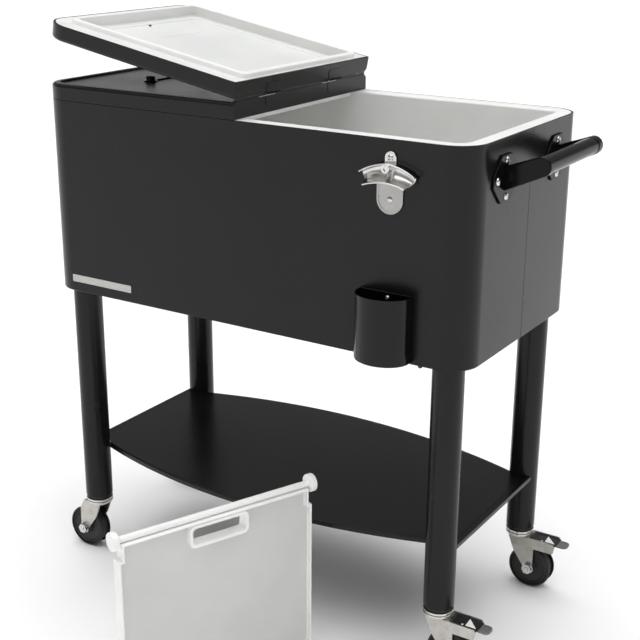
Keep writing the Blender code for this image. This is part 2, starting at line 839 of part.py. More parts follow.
def hinge_leaf(name, axis, middle_y, outer_knuckles, looks):
    half = hinge_length / 2
    leaf = block("hinge_leaf_" + name, (fit_gap, middle_y - half, -leaf_height),
                 (fit_gap + leaf_thickness, middle_y + half, 0), axis)
    if outer_knuckles:
        spans = ((-half, -half + knuckle_length), (half - knuckle_length, half))
    else:
        spans = ((-half + knuckle_length + fit_gap, half - knuckle_length - fit_gap),)
    barrels = [cylinder("knuckle_" + name + "_" + str(index), knuckle_radius, low, high, axis,
                        middle=(0, middle_y, 0), along="Y", sides=small_sides)
               for index, (low, high) in enumerate(spans)]
    reach = half + overrun
    relief_spans = ((-half + knuckle_length, half - knuckle_length),) if outer_knuckles else (
        (-reach, -half + knuckle_length + fit_gap), (half - knuckle_length - fit_gap, reach))
    reliefs = [cylinder("relief_" + name + "_" + str(index), knuckle_radius + fit_gap, low, high, axis,
                        middle=(0, middle_y, 0), along="Y", sides=small_sides)
               for index, (low, high) in enumerate(relief_spans)]
    bore = cylinder("knuckle_bore_" + name, hinge_pin_radius + fit_gap, -reach, reach, axis,
                    middle=(0, middle_y, 0), along="Y", sides=small_sides)
    cut(leaf, *reliefs)
    join(leaf, *barrels)
    cut(leaf, bore)
    finish(leaf, looks["zinc"])


def hinges(left_axis, right_axis, looks):
    for name, middle_y in (("front", -hinge_from_middle), ("rear", hinge_from_middle)):
        # The left lid's frame is turned half round, so its Y runs the other way
        hinge_leaf("left_" + name, left_axis, -middle_y, True, looks)
        hinge_leaf("right_" + name, right_axis, middle_y, False, looks)
        half = hinge_length / 2
        pin = cylinder("hinge_pin_" + name, hinge_pin_radius, -half, half, left_axis,
                       middle=(0, -middle_y, 0), along="Y", sides=small_sides)
        finish(pin, looks["zinc"])


def lids(root, looks):
    left_axis = group("lid_axis_left", root, (0, 0, hinge_z), Matrix.Rotation(math.pi, 4, "Z"))
    open_angle = math.radians(open_tilt_degrees - 180)
    right_axis = group("lid_axis_right", root, (0, 0, hinge_z), Matrix.Rotation(open_angle, 4, "Y"))
    for name, axis in (("left", left_axis), ("right", right_axis)):
        lid_shell(name, axis, looks)
        lid_liner(name, axis, looks)
        lid_foam(name, axis, looks)
        lid_handle(name, axis, looks)
    hinges(left_axis, right_axis, looks)


# Push handle
def tangent_degrees(point, center, radius, side):
    away = math.atan2(point[1] - center[1], point[0] - center[0])
    distance = math.hypot(point[0] - center[0], point[1] - center[1])
    return math.degrees(away + side * math.acos(radius / distance))


def push_handle(root, looks):
    wall = end_wall + fit_gap
    face = wall + foot_thickness
    eye = (wall + eye_reach, handle_z + eye_rise)
    root_x = face - foot_thickness / 2
    top = (root_x, handle_z + arm_root_half_height)
    low = (root_x, handle_z - arm_root_half_height)
    start = tangent_degrees(top, eye, eye_radius, -1) % 360
    end = tangent_degrees(low, eye, eye_radius, 1) % 360 - 360
    arm_outline = [low, top] + arc(*eye, eye_radius, start, end, 10)
    inner_face = handle_half_span - arm_thickness / 2
    spigot_end = inner_face + grip_spigot_length
    for name, side in (("front", -1), ("rear", 1)):
        middle = side * handle_half_span
        flat_z = foot_flat_half_height
        flat_y = foot_flat_half_width
        half_outline = [(flat_y, -foot_half_height), (foot_half_width, -flat_z),
                        (foot_half_width, flat_z), (flat_y, foot_half_height)]
        outline = half_outline + [(-across, height) for across, height in reversed(half_outline)]
        placed = [(middle + across, handle_z + height) for across, height in outline]
        bracket = prism("handle_bracket_" + name, placed, wall, face, root, along="X")
        arm = prism("handle_arm_" + name, arm_outline, middle - arm_thickness / 2,
                    middle + arm_thickness / 2, root, along="Y")
        ends = sorted((side * (inner_face - overrun), side * (spigot_end + fit_gap)))
        bore = cylinder("handle_bore_" + name, grip_spigot_radius + fit_gap, *ends, root,
                        middle=(eye[0], 0, eye[1]), along="Y", sides=small_sides)
        join(bracket, arm)
        cut(bracket, bore)
        finish(bracket, looks["gloss_black"])
    shoulder = inner_face - fit_gap
    grip = turned("handle_grip", [
        (0, spigot_end), (grip_spigot_radius, spigot_end), (grip_spigot_radius, shoulder),
        (grip_radius, shoulder), (grip_radius, -shoulder), (grip_spigot_radius, -shoulder),
        (grip_spigot_radius, -spigot_end), (0, -spigot_end),
    ], root, middle=(eye[0], 0, eye[1]), along="Y")
    finish(grip, looks["gloss_black"])


# Opener, cup and name strip on the front
def arched_band(middle, half_width, apex, radius, thickness, steps=8):
    reach = math.degrees(math.asin(half_width / radius))
    outer = arc(middle, apex - radius, radius, 90 - reach, 90 + reach, steps)
    inner = arc(middle, apex - radius, radius - thickness, 90 + reach, 90 - reach, steps)
    return outer + inner


def bottle_opener(root, looks):
    back = -side_wall - fit_gap
    face = back - opener_plate
    wide = opener_plate_half_width
    narrow = opener_tab_half_width
    shoulder = upper_lip_apex - opener_lip_thickness
    outline = arc(opener_x, opener_low_screw_z, wide, 180, 360, 10)
    outline += [(opener_x + wide, shoulder), (opener_x + narrow, shoulder)]
    outline += arc(opener_x, opener_top_screw_z, narrow, 0, 180, 8)
    outline += [(opener_x - narrow, shoulder), (opener_x - wide, shoulder)]
    opener = prism("bottle_opener", outline, face, back, root, along="Y")
    # The lips and the tooth are rooted halfway into the plate, and the web lies just inside its faces
    lip_root = back - opener_plate / 2
    web_setback = opener_plate / 5
    upper = prism("opener_upper_lip", arched_band(opener_x, upper_lip_half_width, upper_lip_apex,
                                                  upper_lip_arc_radius, opener_lip_thickness),
                  back - upper_lip_reach, lip_root, root, along="Y")
    lower = prism("opener_lower_lip", arched_band(opener_x, lower_lip_half_width, lower_lip_apex,
                                                  lower_lip_arc_radius, opener_lip_thickness),
                  back - lower_lip_reach, lip_root, root, along="Y")
    # The web stops a little short of both lips' ends
    upper_reach = math.degrees(math.asin((upper_lip_half_width - web_from_lip_end) / upper_lip_arc_radius))
    lower_reach = math.degrees(math.asin((lower_lip_half_width - web_from_lip_end) / lower_lip_arc_radius))
    overlap = opener_lip_thickness / 2
    web_outline = arc(opener_x, upper_lip_apex - upper_lip_arc_radius, upper_lip_arc_radius - overlap,
                      90 - upper_reach, 90 + upper_reach, 8)
    web_outline += arc(opener_x, lower_lip_apex - lower_lip_arc_radius, lower_lip_arc_radius - overlap,
                       90 + lower_reach, 90 - lower_reach, 8)
    web = prism("opener_web", web_outline, face + web_setback, back - web_setback, root, along="Y")
    tooth = cylinder("opener_tooth", tooth_radius, back - tooth_reach, lip_root, root,
                     middle=(opener_x, 0, tooth_z), along="Y", sides=small_sides)
    join(opener, web, upper, lower, tooth)
    for name, height in (("top", opener_top_screw_z), ("low", opener_low_screw_z)):
        hole = cylinder("opener_hole_" + name, screw_shank_radius + fit_gap, face - overrun,
                        back + overrun, root, middle=(opener_x, 0, height), along="Y", sides=small_sides)
        cut(opener, hole)
        dome = arc(0, 0, screw_head_radius, 90, 0, dome_steps, screw_head_rise)
        shank = -fit_gap - opener_plate
        profile = dome + [(screw_shank_radius, 0), (screw_shank_radius, shank), (0, shank)]
        screw = turned("opener_screw_" + name, profile, root, middle=(opener_x, face - fit_gap, height),
                       along="Y", sides=small_sides)
        finish(screw, looks["zinc"])
    finish(opener, looks["polished_steel"])


def cup_outline(inset):
    half = cup_half_width - inset
    back = -side_wall - fit_gap - inset
    front_center = -side_wall - fit_gap - cup_straight
    reach = cup_depth - cup_straight - inset
    front = arc(cup_x, front_center, half, 180, 360, cup_steps, reach)
    return [(cup_x + half, back), (cup_x - half, back)] + front


def cap_catcher(root, looks):
    low = cup_rim - cup_height
    cup = prism("cap_catcher", cup_outline(0), low, cup_rim, root)
    hollow = prism("cup_hollow", cup_outline(cup_wall), low + cup_wall, cup_rim + overrun, root)
    cut(cup, hollow)
    finish(cup, looks["gloss_black"])


def nameplate(root, looks):
    back = -side_wall - fit_gap
    strip = block("nameplate", (strip_left, back - strip_thickness, strip_base),
                  (strip_left + strip_length, back, strip_base + strip_height), root)
    finish(strip, looks["polished_steel"])


# Divider panel, standing by itself in front of the shelf
def divider_outline(inset, top):
    half = divider_half_width - inset
    shoulder_half = half - divider_shoulder_inset
    shoulder = divider_height - divider_shoulder_drop
    corner = divider_corner - inset
    low = inset
    right = [(half, shoulder), (shoulder_half, shoulder), (shoulder_half, top)]
    left = [(-across, height) for across, height in reversed(right)]
    return (arc(-half + corner, low + corner, corner, 180, 270, 5)
            + arc(half - corner, low + corner, corner, 270, 360, 5) + right + left)


def divider(root, looks):
    yaw = Matrix.Rotation(math.radians(divider_yaw_degrees), 4, "Z")
    stand = group("divider_stand", root, (divider_x, divider_y, 0), yaw)
    rod_z = divider_height - divider_rod_radius
    panel_top = rod_z - divider_rod_radius - fit_gap
    half_depth = divider_depth / 2
    panel = prism("divider_panel", divider_outline(0, panel_top), -half_depth, half_depth,
                  stand, along="Y")
    pocket_top = panel_top - divider_wall
    for name, near, far in (("front", -half_depth - overrun, -divider_wall / 2),
                            ("back", divider_wall / 2, half_depth + overrun)):
        pocket = prism("divider_pocket_" + name, divider_outline(divider_wall, pocket_top), near, far,
                       stand, along="Y")
        cut(panel, pocket)
    hole_top = rod_z - hand_hole_drop
    hole_low = hole_top - hand_hole_height
    half = hand_hole_width / 2
    collar_outline = rounded_rectangle(-half - hand_collar, half + hand_collar, hole_low - hand_collar,
                                       hole_top + hand_collar, [hand_corner + hand_collar] * 4, 3)
    collar = prism("divider_collar", collar_outline, -half_depth + fit_gap, half_depth - fit_gap,
                   stand, along="Y")
    hole_outline = rounded_rectangle(-half, half, hole_low, hole_top, [hand_corner] * 4, 3)
    hole = prism("divider_hole", hole_outline, -half_depth - overrun, half_depth + overrun,
                 stand, along="Y")
    join(panel, collar)
    cut(panel, hole)
    finish(panel, looks["tub_plastic"])
    end = divider_length / 2
    disc_face = end - divider_disc_thickness
    rail = turned("divider_rail", [
        (0, end), (divider_disc_radius, end), (divider_disc_radius, disc_face),
        (divider_rod_radius, disc_face), (divider_rod_radius, -disc_face),
        (divider_disc_radius, -disc_face), (divider_disc_radius, -end), (0, -end),
    ], stand, middle=(0, 0, rod_z), along="X", sides=small_sides)
    finish(rail, looks["tub_plastic"])


def seat_on_origin(root):
    bpy.context.view_layer.update()
    graph = bpy.context.evaluated_depsgraph_get()
    corners = []
    for piece in model.objects:
        if piece.type == "MESH":
            evaluated = piece.evaluated_get(graph)
            corners += [evaluated.matrix_world @ vertex.co for vertex in evaluated.data.vertices]
    low = [min(corner[axis] for corner in corners) for axis in range(3)]
    high = [max(corner[axis] for corner in corners) for axis in range(3)]
    root.location = (-(low[0] + high[0]) / 2, -(low[1] + high[1]) / 2, -low[2])
    bpy.context.view_layer.update()


def main():
    clear_scene()
    looks = {
        "painted_steel": material("Black painted steel", (0.025, 0.025, 0.026), 0.25, 0.0),
        "galvanised": material("Galvanised steel", (0.45, 0.46, 0.47), 0.45, 0.9),
        "tub_plastic": material("White moulded plastic", (0.82, 0.82, 0.81), 0.35, 0.0),
        "foam": material("Insulating foam", (0.75, 0.66, 0.42), 0.9, 0.0),
        "black_plastic": material("Black plastic", (0.02, 0.02, 0.02), 0.5, 0.0),
        "gloss_black": material("Gloss black enamel", (0.012, 0.012, 0.013), 0.15, 0.0),
        "rubber": material("Black tyre plastic", (0.025, 0.025, 0.025), 0.6, 0.0),
        "zinc": material("Zinc plated steel", (0.62, 0.62, 0.60), 0.35, 1.0),
        "polished_steel": material("Polished steel", (0.72, 0.72, 0.72), 0.18, 1.0),
    }
    root = group("cooler_root", None)
    cabinet(root, looks)
    drain(root, looks)
    legs(root, looks)
    shelf(root, looks)
    casters(root, looks)
    lids(root, looks)
    push_handle(root, looks)
    bottle_opener(root, looks)
    cap_catcher(root, looks)
    nameplate(root, looks)
    divider(root, looks)
    seat_on_origin(root)


main()
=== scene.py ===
# Rolling patio cooler: a drinks cabinet on four legs with casters, two half lids, a push handle, a shelf,
# an opener over its cup, and a loose divider. Sizes are in metres
import math

import bmesh
import bpy
from mathutils import Matrix, Vector


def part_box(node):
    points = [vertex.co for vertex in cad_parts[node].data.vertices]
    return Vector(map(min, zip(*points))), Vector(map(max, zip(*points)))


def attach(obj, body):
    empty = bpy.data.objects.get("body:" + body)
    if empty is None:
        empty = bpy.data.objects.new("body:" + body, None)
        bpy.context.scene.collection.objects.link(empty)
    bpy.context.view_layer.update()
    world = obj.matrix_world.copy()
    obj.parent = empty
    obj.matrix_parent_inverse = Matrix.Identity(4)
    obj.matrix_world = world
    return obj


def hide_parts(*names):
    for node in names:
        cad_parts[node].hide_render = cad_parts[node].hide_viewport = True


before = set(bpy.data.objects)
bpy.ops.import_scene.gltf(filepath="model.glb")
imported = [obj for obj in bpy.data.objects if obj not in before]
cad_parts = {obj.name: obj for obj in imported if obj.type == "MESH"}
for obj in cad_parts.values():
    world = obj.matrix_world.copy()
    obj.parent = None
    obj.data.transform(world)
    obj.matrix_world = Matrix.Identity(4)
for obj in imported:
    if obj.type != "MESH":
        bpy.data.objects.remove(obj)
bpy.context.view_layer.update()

tiny = 0.00002  # two places nearer than this are one
hair = 0.0001  # between pieces that touch, so that their faces stay apart
past = 0.01  # how far a cutting tool goes past the surface that it cuts
steep = 0.3  # a face whose normal rises less than this is a wall
smoothAngle = math.radians(38)


# Places and turns

def at(x=0, y=0, z=0):
    return Matrix.Translation((x, y, z))


def turned(angle, axis="Z"):
    return Matrix.Rotation(angle, 4, axis)


# Turns a piece drawn along Z so that it lies along another axis
lay = {
    "X": Matrix(((0, 0, 1, 0), (1, 0, 0, 0), (0, 1, 0, 0), (0, 0, 0, 1))),
    "Y": Matrix(((1, 0, 0, 0), (0, 0, -1, 0), (0, 1, 0, 0), (0, 0, 0, 1))),
}
# Pieces are modelled with the middle of the cabinet's footprint at zero, and cart moves them to their place
frontLow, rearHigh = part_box("front_shell")[0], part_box("rear_shell")[1]
cart = at((frontLow.x + rearHigh.x) / 2, (frontLow.y + rearHigh.y) / 2)


def take(facts, names):
    return [facts[name] for name in names.split()]


# Modelling tools: an operator acts on all that is selected, so everything is deselected first

def leaveEdit():
    if bpy.context.mode != "OBJECT":
        bpy.ops.object.mode_set(mode="OBJECT")


def deselectAll():
    leaveEdit()
    bpy.ops.object.select_all(action="DESELECT")


def choose(*pieces):
    deselectAll()
    for piece in pieces:
        piece.select_set(True)
    bpy.context.view_layer.objects.active = pieces[0]


def edit(piece):
    choose(piece)
    bpy.ops.object.mode_set(mode="EDIT")


def takeUp(name):
    piece = bpy.context.active_object
    piece.name = piece.data.name = name
    bpy.ops.object.transform_apply()
    bpy.ops.object.mode_set(mode="EDIT")
    return piece


def addBlock(name, low, high):
    deselectAll()
    low, high = Vector(low), Vector(high)
    bpy.ops.mesh.primitive_cube_add(size=1, location=(low + high) / 2, scale=high - low)
    return takeUp(name)


def pick(kind, test):
    bpy.ops.mesh.select_mode(type=kind)
    bpy.ops.mesh.select_all(action="DESELECT")
    shape = bmesh.from_edit_mesh(bpy.context.edit_object.data)
    for part in {"FACE": shape.faces, "EDGE": shape.edges, "VERT": shape.verts}[kind]:
        if test(part):
            part.select_set(True)
    shape.select_flush_mode()
    bmesh.update_edit_mesh(bpy.context.edit_object.data)


# Tests for pick

def level(height):
    return lambda part: all(abs(corner.co.z - height) < tiny for corner in part.verts)


def runsAlong(axis):
    others = [other for other in range(3) if other != axis]
    return lambda edge: all(abs(edge.verts[0].co[other] - edge.verts[1].co[other]) < tiny for other in others)


upright = runsAlong(2)


# True for an edge of a wall whose middle lies between two heights
def meetsWall(edge, low=-math.inf, high=math.inf):
    walls = [face for face in edge.link_faces if abs(face.normal.z) < steep]
    return any(low < wall.calc_center_median().z < high for wall in walls)


def pull(step):
    bpy.ops.mesh.extrude_region_move(TRANSFORM_OT_translate={"value": step})


def roundEdges(test, width, steps):
    pick("EDGE", test)
    bpy.ops.mesh.bevel(offset=width, segments=steps, affect="EDGES")


def rounded(piece, test, width, steps):
    edit(piece)
    roundEdges(test, width, steps)
    leaveEdit()
    return piece


def dropFaces(test):
    pick("FACE", test)
    bpy.ops.mesh.delete(type="FACE")


# Folds an open edge inwards as a narrow hem
def foldHem(height, hem, middleX, halfX, halfY):
    pick("EDGE", lambda edge: edge.is_boundary and level(height)(edge))
    pull((0, 0, 0))
    shrink = ((halfX - hem) / halfX, (halfY - hem) / halfY, 1)
    bpy.ops.transform.resize(value=shrink, center_override=(middleX, 0, height))


def closeUp():
    bpy.ops.mesh.select_all(action="SELECT")
    bpy.ops.mesh.remove_doubles(threshold=tiny / 2)
    bpy.ops.mesh.normals_make_consistent(inside=False)
    leaveEdit()


# A chain of corners drawn by extruding the first corner of a plane from point to point
def drawLine(name, points):
    deselectAll()
    points = [Vector(point) for point in points]
    bpy.ops.mesh.primitive_plane_add(size=1, location=points[0] + Vector((0.5, 0.5, 0)))
    piece = takeUp(name)
    pick("VERT", lambda corner: (corner.co - points[0]).length > tiny)
    bpy.ops.mesh.delete(type="VERT")
    pick("VERT", lambda corner: True)
    for start, end in zip(points, points[1:]):
        pull(end - start)
    return piece


# A piece turned round Z from its profile of radius and height
def turnUp(name, profile, sides=48, closed=False):
    points = [(radius, 0, height) for radius, height in profile]
    piece = drawLine(name, points + points[:1] if closed else points)
    bpy.ops.mesh.select_all(action="SELECT")
    bpy.ops.mesh.spin(steps=sides, angle=math.tau, center=(0, 0, 0), axis=(0, 0, 1))
    closeUp()
    return piece


def rod(name, radius, low, high, sides=24):
    return turnUp(name, [(0, low), (radius, low), (radius, high), (0, high)], sides)


def slab(name, outline, low, high):
    piece = drawLine(name, [(*corner, low) for corner in outline])
    bpy.ops.mesh.select_all(action="SELECT")
    bpy.ops.mesh.edge_face_add()
    pull((0, 0, high - low))
    closeUp()
    return piece


def put(piece, place):
    choose(piece)
    piece.matrix_world = place
    bpy.ops.object.transform_apply()
    return piece


def applied(piece, kind, **settings):
    choose(piece)
    step = piece.modifiers.new(kind.title(), kind)
    for key, value in settings.items():
        setattr(step, key, value)
    bpy.ops.object.modifier_apply(modifier=step.name)
    return piece


def soften(piece, width, steps=2, angle=50):
    return applied(piece, "BEVEL", width=width, segments=steps, limit_method="ANGLE",
                   angle_limit=math.radians(angle), use_clamp_overlap=True)


def combine(piece, operation, *others):
    for other in others:
        applied(piece, "BOOLEAN", operation=operation, solver="EXACT", object=other)
        bpy.data.objects.remove(other)
    return piece


def together(piece, *others):
    choose(piece, *others)
    bpy.ops.object.join()
    return piece


# Gives the faces that pass the test their own finish
def twoLooks(piece, first, second, test):
    for look in (first, second):
        piece.data.materials.append(looks[look])
    edit(piece)
    pick("FACE", test)
    piece.active_material_index = 1
    bpy.ops.object.material_slot_assign()
    leaveEdit()
    return piece


# Finishes a piece, moves it to its place and lets it ride, and a look of None keeps the looks that it has
def dress(piece, look, body, node=None, place=cart):
    put(piece, place)
    bpy.ops.object.shade_smooth_by_angle(angle=smoothAngle)
    applied(piece, "WEIGHTED_NORMAL", keep_sharp=True)
    if look:
        piece.data.materials.clear()
        piece.data.materials.append(looks[look])
    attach(piece, body)
    if node:
        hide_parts(node)


# What repeats is modelled once and stamped as copies, and the models go when all is made
models = []


def model(piece):
    models.append(piece)
    return piece


def copyOf(piece, name):
    choose(piece)
    bpy.ops.object.duplicate(linked=False)
    twin = bpy.context.active_object
    twin.name = twin.data.name = name
    return twin


def stamp(source, name, look, body, place, node=None):
    dress(copyOf(source, name), look, body, node, place)


# "front_left" becomes "FrontLeft"
def tag(name):
    return name.title().replace("_", "")


# Outlines

def arc(middleX, middleY, radius, start, end, steps, radiusY=None):
    high = radiusY or radius
    angles = [math.radians(start + (end - start) * step / steps) for step in range(steps + 1)]
    return [(middleX + radius * math.cos(angle), middleY + high * math.sin(angle)) for angle in angles]


def roundBox(lowX, highX, lowY, highY, radius, steps=6):
    places = ((lowX + radius, lowY + radius, 180), (highX - radius, lowY + radius, 270),
              (highX - radius, highY - radius, 0), (lowX + radius, highY - radius, 90))
    return [point for x, y, start in places for point in arc(x, y, radius, start, start + 90, steps)]


def mirrored(points):
    return points + [(across, -along) for across, along in reversed(points)]


# Finishes

# From an sRGB hex value to linear
def linear(code):
    parts = [int(code[start:start + 2], 16) / 255 for start in (1, 3, 5)]
    return (*[part / 12.92 if part <= 0.04045 else ((part + 0.055) / 1.055) ** 2.4 for part in parts], 1)


def addNode(tree, kind, values={}, links={}):
    node = tree.nodes.new("ShaderNode" + kind)
    for key, value in values.items():
        node.inputs[key].default_value = value
    for key, (source, output) in links.items():
        tree.links.new(source.outputs[output], node.inputs[key])
    return node


# Gloss is the roughness from low to high. The cloud steers shade and gloss, and the grain, or else the cloud,
# makes the relief, of a depth and strength. Cloud and grain are each a size in millimetres and a detail, and
# cells names the output that a cell pattern gives in place of noise
def makeLook(name, shades, gloss, cloud, relief, grain=None, metal=0, cells=None, stretch=(1, 1, 1), **more):
    look = bpy.data.materials.new(name)
    look.use_nodes = True
    tree = look.node_tree
    shader = tree.nodes["Principled BSDF"]
    fixed = {"Base Color": linear(shades[0]), "Roughness": gloss[0], "Metallic": metal}
    fixed.update({key.replace("_", " "): value for key, value in more.items()})
    for key, value in fixed.items():
        shader.inputs[key].default_value = value
    place = addNode(tree, "TexCoord")
    mapping = addNode(tree, "Mapping", {"Scale": stretch}, {"Vector": (place, "Object")})
    kind, reads, height = ("TexVoronoi", cells, "Distance") if cells else ("TexNoise", "Fac", "Fac")
    cloudNode, grainNode = (
        addNode(tree, kind, {"Scale": 1000 / size, "Detail": detail}, {"Vector": (mapping, "Vector")})
        for size, detail in (cloud, grain or cloud))
    if shades[0] != shades[1]:
        ramp = addNode(tree, "ValToRGB", links={"Fac": (cloudNode, reads)})
        for stop, position, shade in zip(ramp.color_ramp.elements, (0.35, 0.65), shades):
            stop.position, stop.color = position, linear(shade)
        tree.links.new(ramp.outputs["Color"], shader.inputs["Base Color"])
    if gloss[0] != gloss[1]:
        span = {"From Min": 0.3, "From Max": 0.7, "To Min": gloss[0], "To Max": gloss[1]}
        spread = addNode(tree, "MapRange", span, {"Value": (cloudNode, reads)})
        tree.links.new(spread.outputs["Result"], shader.inputs["Roughness"])
    depth, strength = relief
    bump = addNode(tree, "Bump", {"Strength": strength, "Distance": depth}, {"Height": (grainNode, height)})
    tree.links.new(bump.outputs["Normal"], shader.inputs["Normal"])
    return look


# Finishes that come in several shades or sheens

# Stove enamel, dipped and baked: deep black with mirror-like runs of light
def enamel(name, sheen):
    return makeLook(name, ("#070707", "#090909"), (0.14, 0.20), (71, 2), (0.0003, 0.05), grain=(8.3, 2),
                    Specular_IOR_Level=sheen, Coat_Weight=sheen / 2, Coat_Roughness=0.05)


# Moulded polyethylene: bright white, soft highlights and a faint sink-mark waviness
def tubPlastic(name, shades):
    return makeLook(name, shades, (0.33, 0.41), (91, 2), (0.0002, 0.08), grain=(2, 3),
                    Subsurface_Weight=0.08, Subsurface_Scale=0.004)


# Injection-moulded polypropylene: smooth and white on the rims; the spark-eroded field is rougher and
# bumpier, and its greyer tone is painted shade
def dividerPlastic(name, shades, gloss, strength):
    return makeLook(name, shades, gloss, (77, 2), (0.0002, strength), grain=(1.54, 3))


# Nickel-plated steel: bright with a slightly uneven gloss where it is polished; the satin flat is rougher,
# and its greyer tone is painted shade
def nickelPlate(name, shades, gloss):
    return makeLook(name, shades, gloss, (25, 4), (0.0001, 0.06), grain=(1.11, 2), metal=1)


# Glass-filled nylon: a satin with a fine moulded grain
def nylon(name, shades):
    return makeLook(name, shades, (0.34, 0.48), (2, 3), (0.0002, 0.15))


looks = {
    # Polyester powder coat, baked black: an even satin with a faint orange peel
    "powderCoat": makeLook("Black powder coat", ("#101011", "#131314"), (0.24, 0.28), (111, 2),
                           (0.0004, 0.10), grain=(2.5, 3), Specular_IOR_Level=0.25),
    "glossEnamel": enamel("Gloss black enamel", 0.22),
    "deepEnamel": enamel("Deep black enamel", 0.13),
    "tubPlastic": tubPlastic("White moulded polyethylene", ("#f2f2f0", "#f7f7f5")),
    # A darker copy of the white polyethylene for the lid tray's recess: painted shade
    "trayShadePlastic": tubPlastic("Moulded polyethylene with painted shade", ("#e3e4e2", "#e8e8e6")),
    "dividerRim": dividerPlastic("White polypropylene", ("#f4f4f2", "#f8f8f6"), (0.30, 0.39), 0.06),
    # The field's grey, darker than the rims, is painted shade
    "dividerShadedField": dividerPlastic("Spark-textured polypropylene with painted shade", ("#cfcfcd", "#d4d4d2"), (0.46, 0.55),
                                   0.14),
    "polishedSteel": nickelPlate("Polished nickel plate", ("#cac9c6", "#d6d5d3"), (0.12, 0.22)),
    # The opener's flat plate takes a darker copy of the nickel: painted shade
    "satinShadedSteel": nickelPlate("Satin nickel plate with painted shade", ("#9c9b99", "#a6a5a3"), (0.22, 0.32)),
    # Steel strip brushed along its length: streaks 17 mm long, drawn 0.4 mm apart, coarser than real, to show
    "brushedSteel": makeLook("Brushed steel strip", ("#a5a4a1", "#bfbebb"), (0.24, 0.38), (16.7, 3),
                             (0.0001, 0.15), metal=1, stretch=(1, 40, 40), Anisotropic=0.5),
    # Bright zinc plate on pressed steel: a warm grey metal with cloudy patches
    "zincPlate": makeLook("Bright zinc plate", ("#b9b5af", "#cac7c2"), (0.24, 0.38), (16.7, 4),
                          (0.0001, 0.08), grain=(1.43, 2), metal=1),
    # Hot-dip galvanised sheet: flakes of spangle about 8 mm across, each with its own grey
    "galvanised": makeLook("Galvanised sheet", ("#999b9e", "#b8babb"), (0.34, 0.5), (8, 0), (0.0001, 0.1),
                           metal=1, cells="Color"),
    # Hard polyurethane tyre: matt black, scuffed a little greyer in spots
    "wheelPolymer": makeLook("Black polyurethane", ("#141414", "#1d1d1d"), (0.45, 0.62), (6.25, 4),
                             (0.0002, 0.2)),
    "blackPlastic": nylon("Black nylon", ("#191919", "#202020")),
    "greyPlastic": nylon("Grey nylon", ("#666667", "#6e6e6f")),
    "whitePrint": nylon("White inlay", ("#f0f0ee", "#f5f5f3")),
    # Poured polyurethane foam: pale straw with closed cells of about 1.5 mm
    "foam": makeLook("Polyurethane foam", ("#cdb982", "#e2d3a6"), (0.9, 0.9), (1.54, 0), (0.0008, 0.5),
                     cells="Distance"),
    # White studio paper, matt and seamless
    "paper": makeLook("White studio paper", ("#ffffff", "#ffffff"), (0.9, 0.9), (3.33, 2), (0.0001, 0.05),
                      Specular_IOR_Level=0.1),
}


# Camera, light and floor

view = {"place": (1.0789, -1.6651, 1.1385), "azimuth": 32.60, "down": 19.19, "roll": 0.233, "lens": 69.61,
        "shift": (0.0122, 0.01345)}
light = {
    # Glow of the white tent round the set, by the sine of the height above the floor: a pale foot, a dim
    # wall and a bright roof
    "tent": ((0, 1.0), (0.07, 1.0), (0.17, 0.27), (0.70, 0.27), (0.88, 2.65), (1, 2.65)),
    "rightBox": {"place": (2.5, 2.0, 0.9), "aim": (0.3, 0, 0.6), "size": (2.2, 1.6), "watts": 5},
    "frontFill": {"place": (-0.8, -3.4, 1.5), "aim": (0, 0, 0.6), "size": (2.4, 1.6), "watts": 4},
}
floorSize = 60


def addCamera(facts):
    azimuth, down, roll = [math.radians(angle) for angle in take(facts, "azimuth down roll")]
    camera = bpy.data.objects.new("camera", bpy.data.cameras.new("camera"))
    bpy.context.scene.collection.objects.link(camera)
    turn = turned(azimuth) @ turned(math.pi / 2 - down, "X") @ turned(roll)
    camera.matrix_world = cart @ at(*facts["place"]) @ turn
    camera.data.lens = facts["lens"]
    camera.data.shift_x, camera.data.shift_y = facts["shift"]
    bpy.context.scene.camera = camera


def addTent(tent):
    world = bpy.data.worlds.new("studio")
    bpy.context.scene.world = world
    world.use_nodes = True
    tree, back = world.node_tree, world.node_tree.nodes["Background"]
    heading = addNode(tree, "SeparateXYZ", links={"Vector": (addNode(tree, "TexCoord"), "Generated")})
    glow = addNode(tree, "ValToRGB", links={"Fac": (heading, "Z")})
    stops, most = glow.color_ramp.elements, max(brightness for height, brightness in tent)
    for height, brightness in tent:
        share = brightness / most
        stop = {0: stops[0], 1: stops[len(stops) - 1]}.get(height) or stops.new(height)
        stop.color = (share, share, share, 1)
    tree.links.new(glow.outputs["Color"], back.inputs["Color"])
    back.inputs["Strength"].default_value = most
    bpy.context.scene.view_settings.view_transform = "Standard"


def addLamp(name, facts):
    lamp = bpy.data.lights.new(name, "AREA")
    lamp.shape = "RECTANGLE"
    lamp.size, lamp.size_y = facts["size"]
    lamp.energy = facts["watts"]
    holder = bpy.data.objects.new(name, lamp)
    bpy.context.scene.collection.objects.link(holder)
    heading = Vector(facts["aim"]) - Vector(facts["place"])
    turn = heading.to_track_quat("-Z", "Y").to_matrix().to_4x4()
    holder.matrix_world = cart @ at(*facts["place"]) @ turn


def addFloor(size):
    deselectAll()
    bpy.ops.mesh.primitive_plane_add(size=size)
    floor = takeUp("floor")
    leaveEdit()
    floor.data.materials.append(looks["paper"])


addCamera(view)
addTent(light["tent"])
for name in ("rightBox", "frontFill"):
    addLamp(name, light[name])
addFloor(floorSize)
print("camera, floor and light set")


# Cabinet and tub

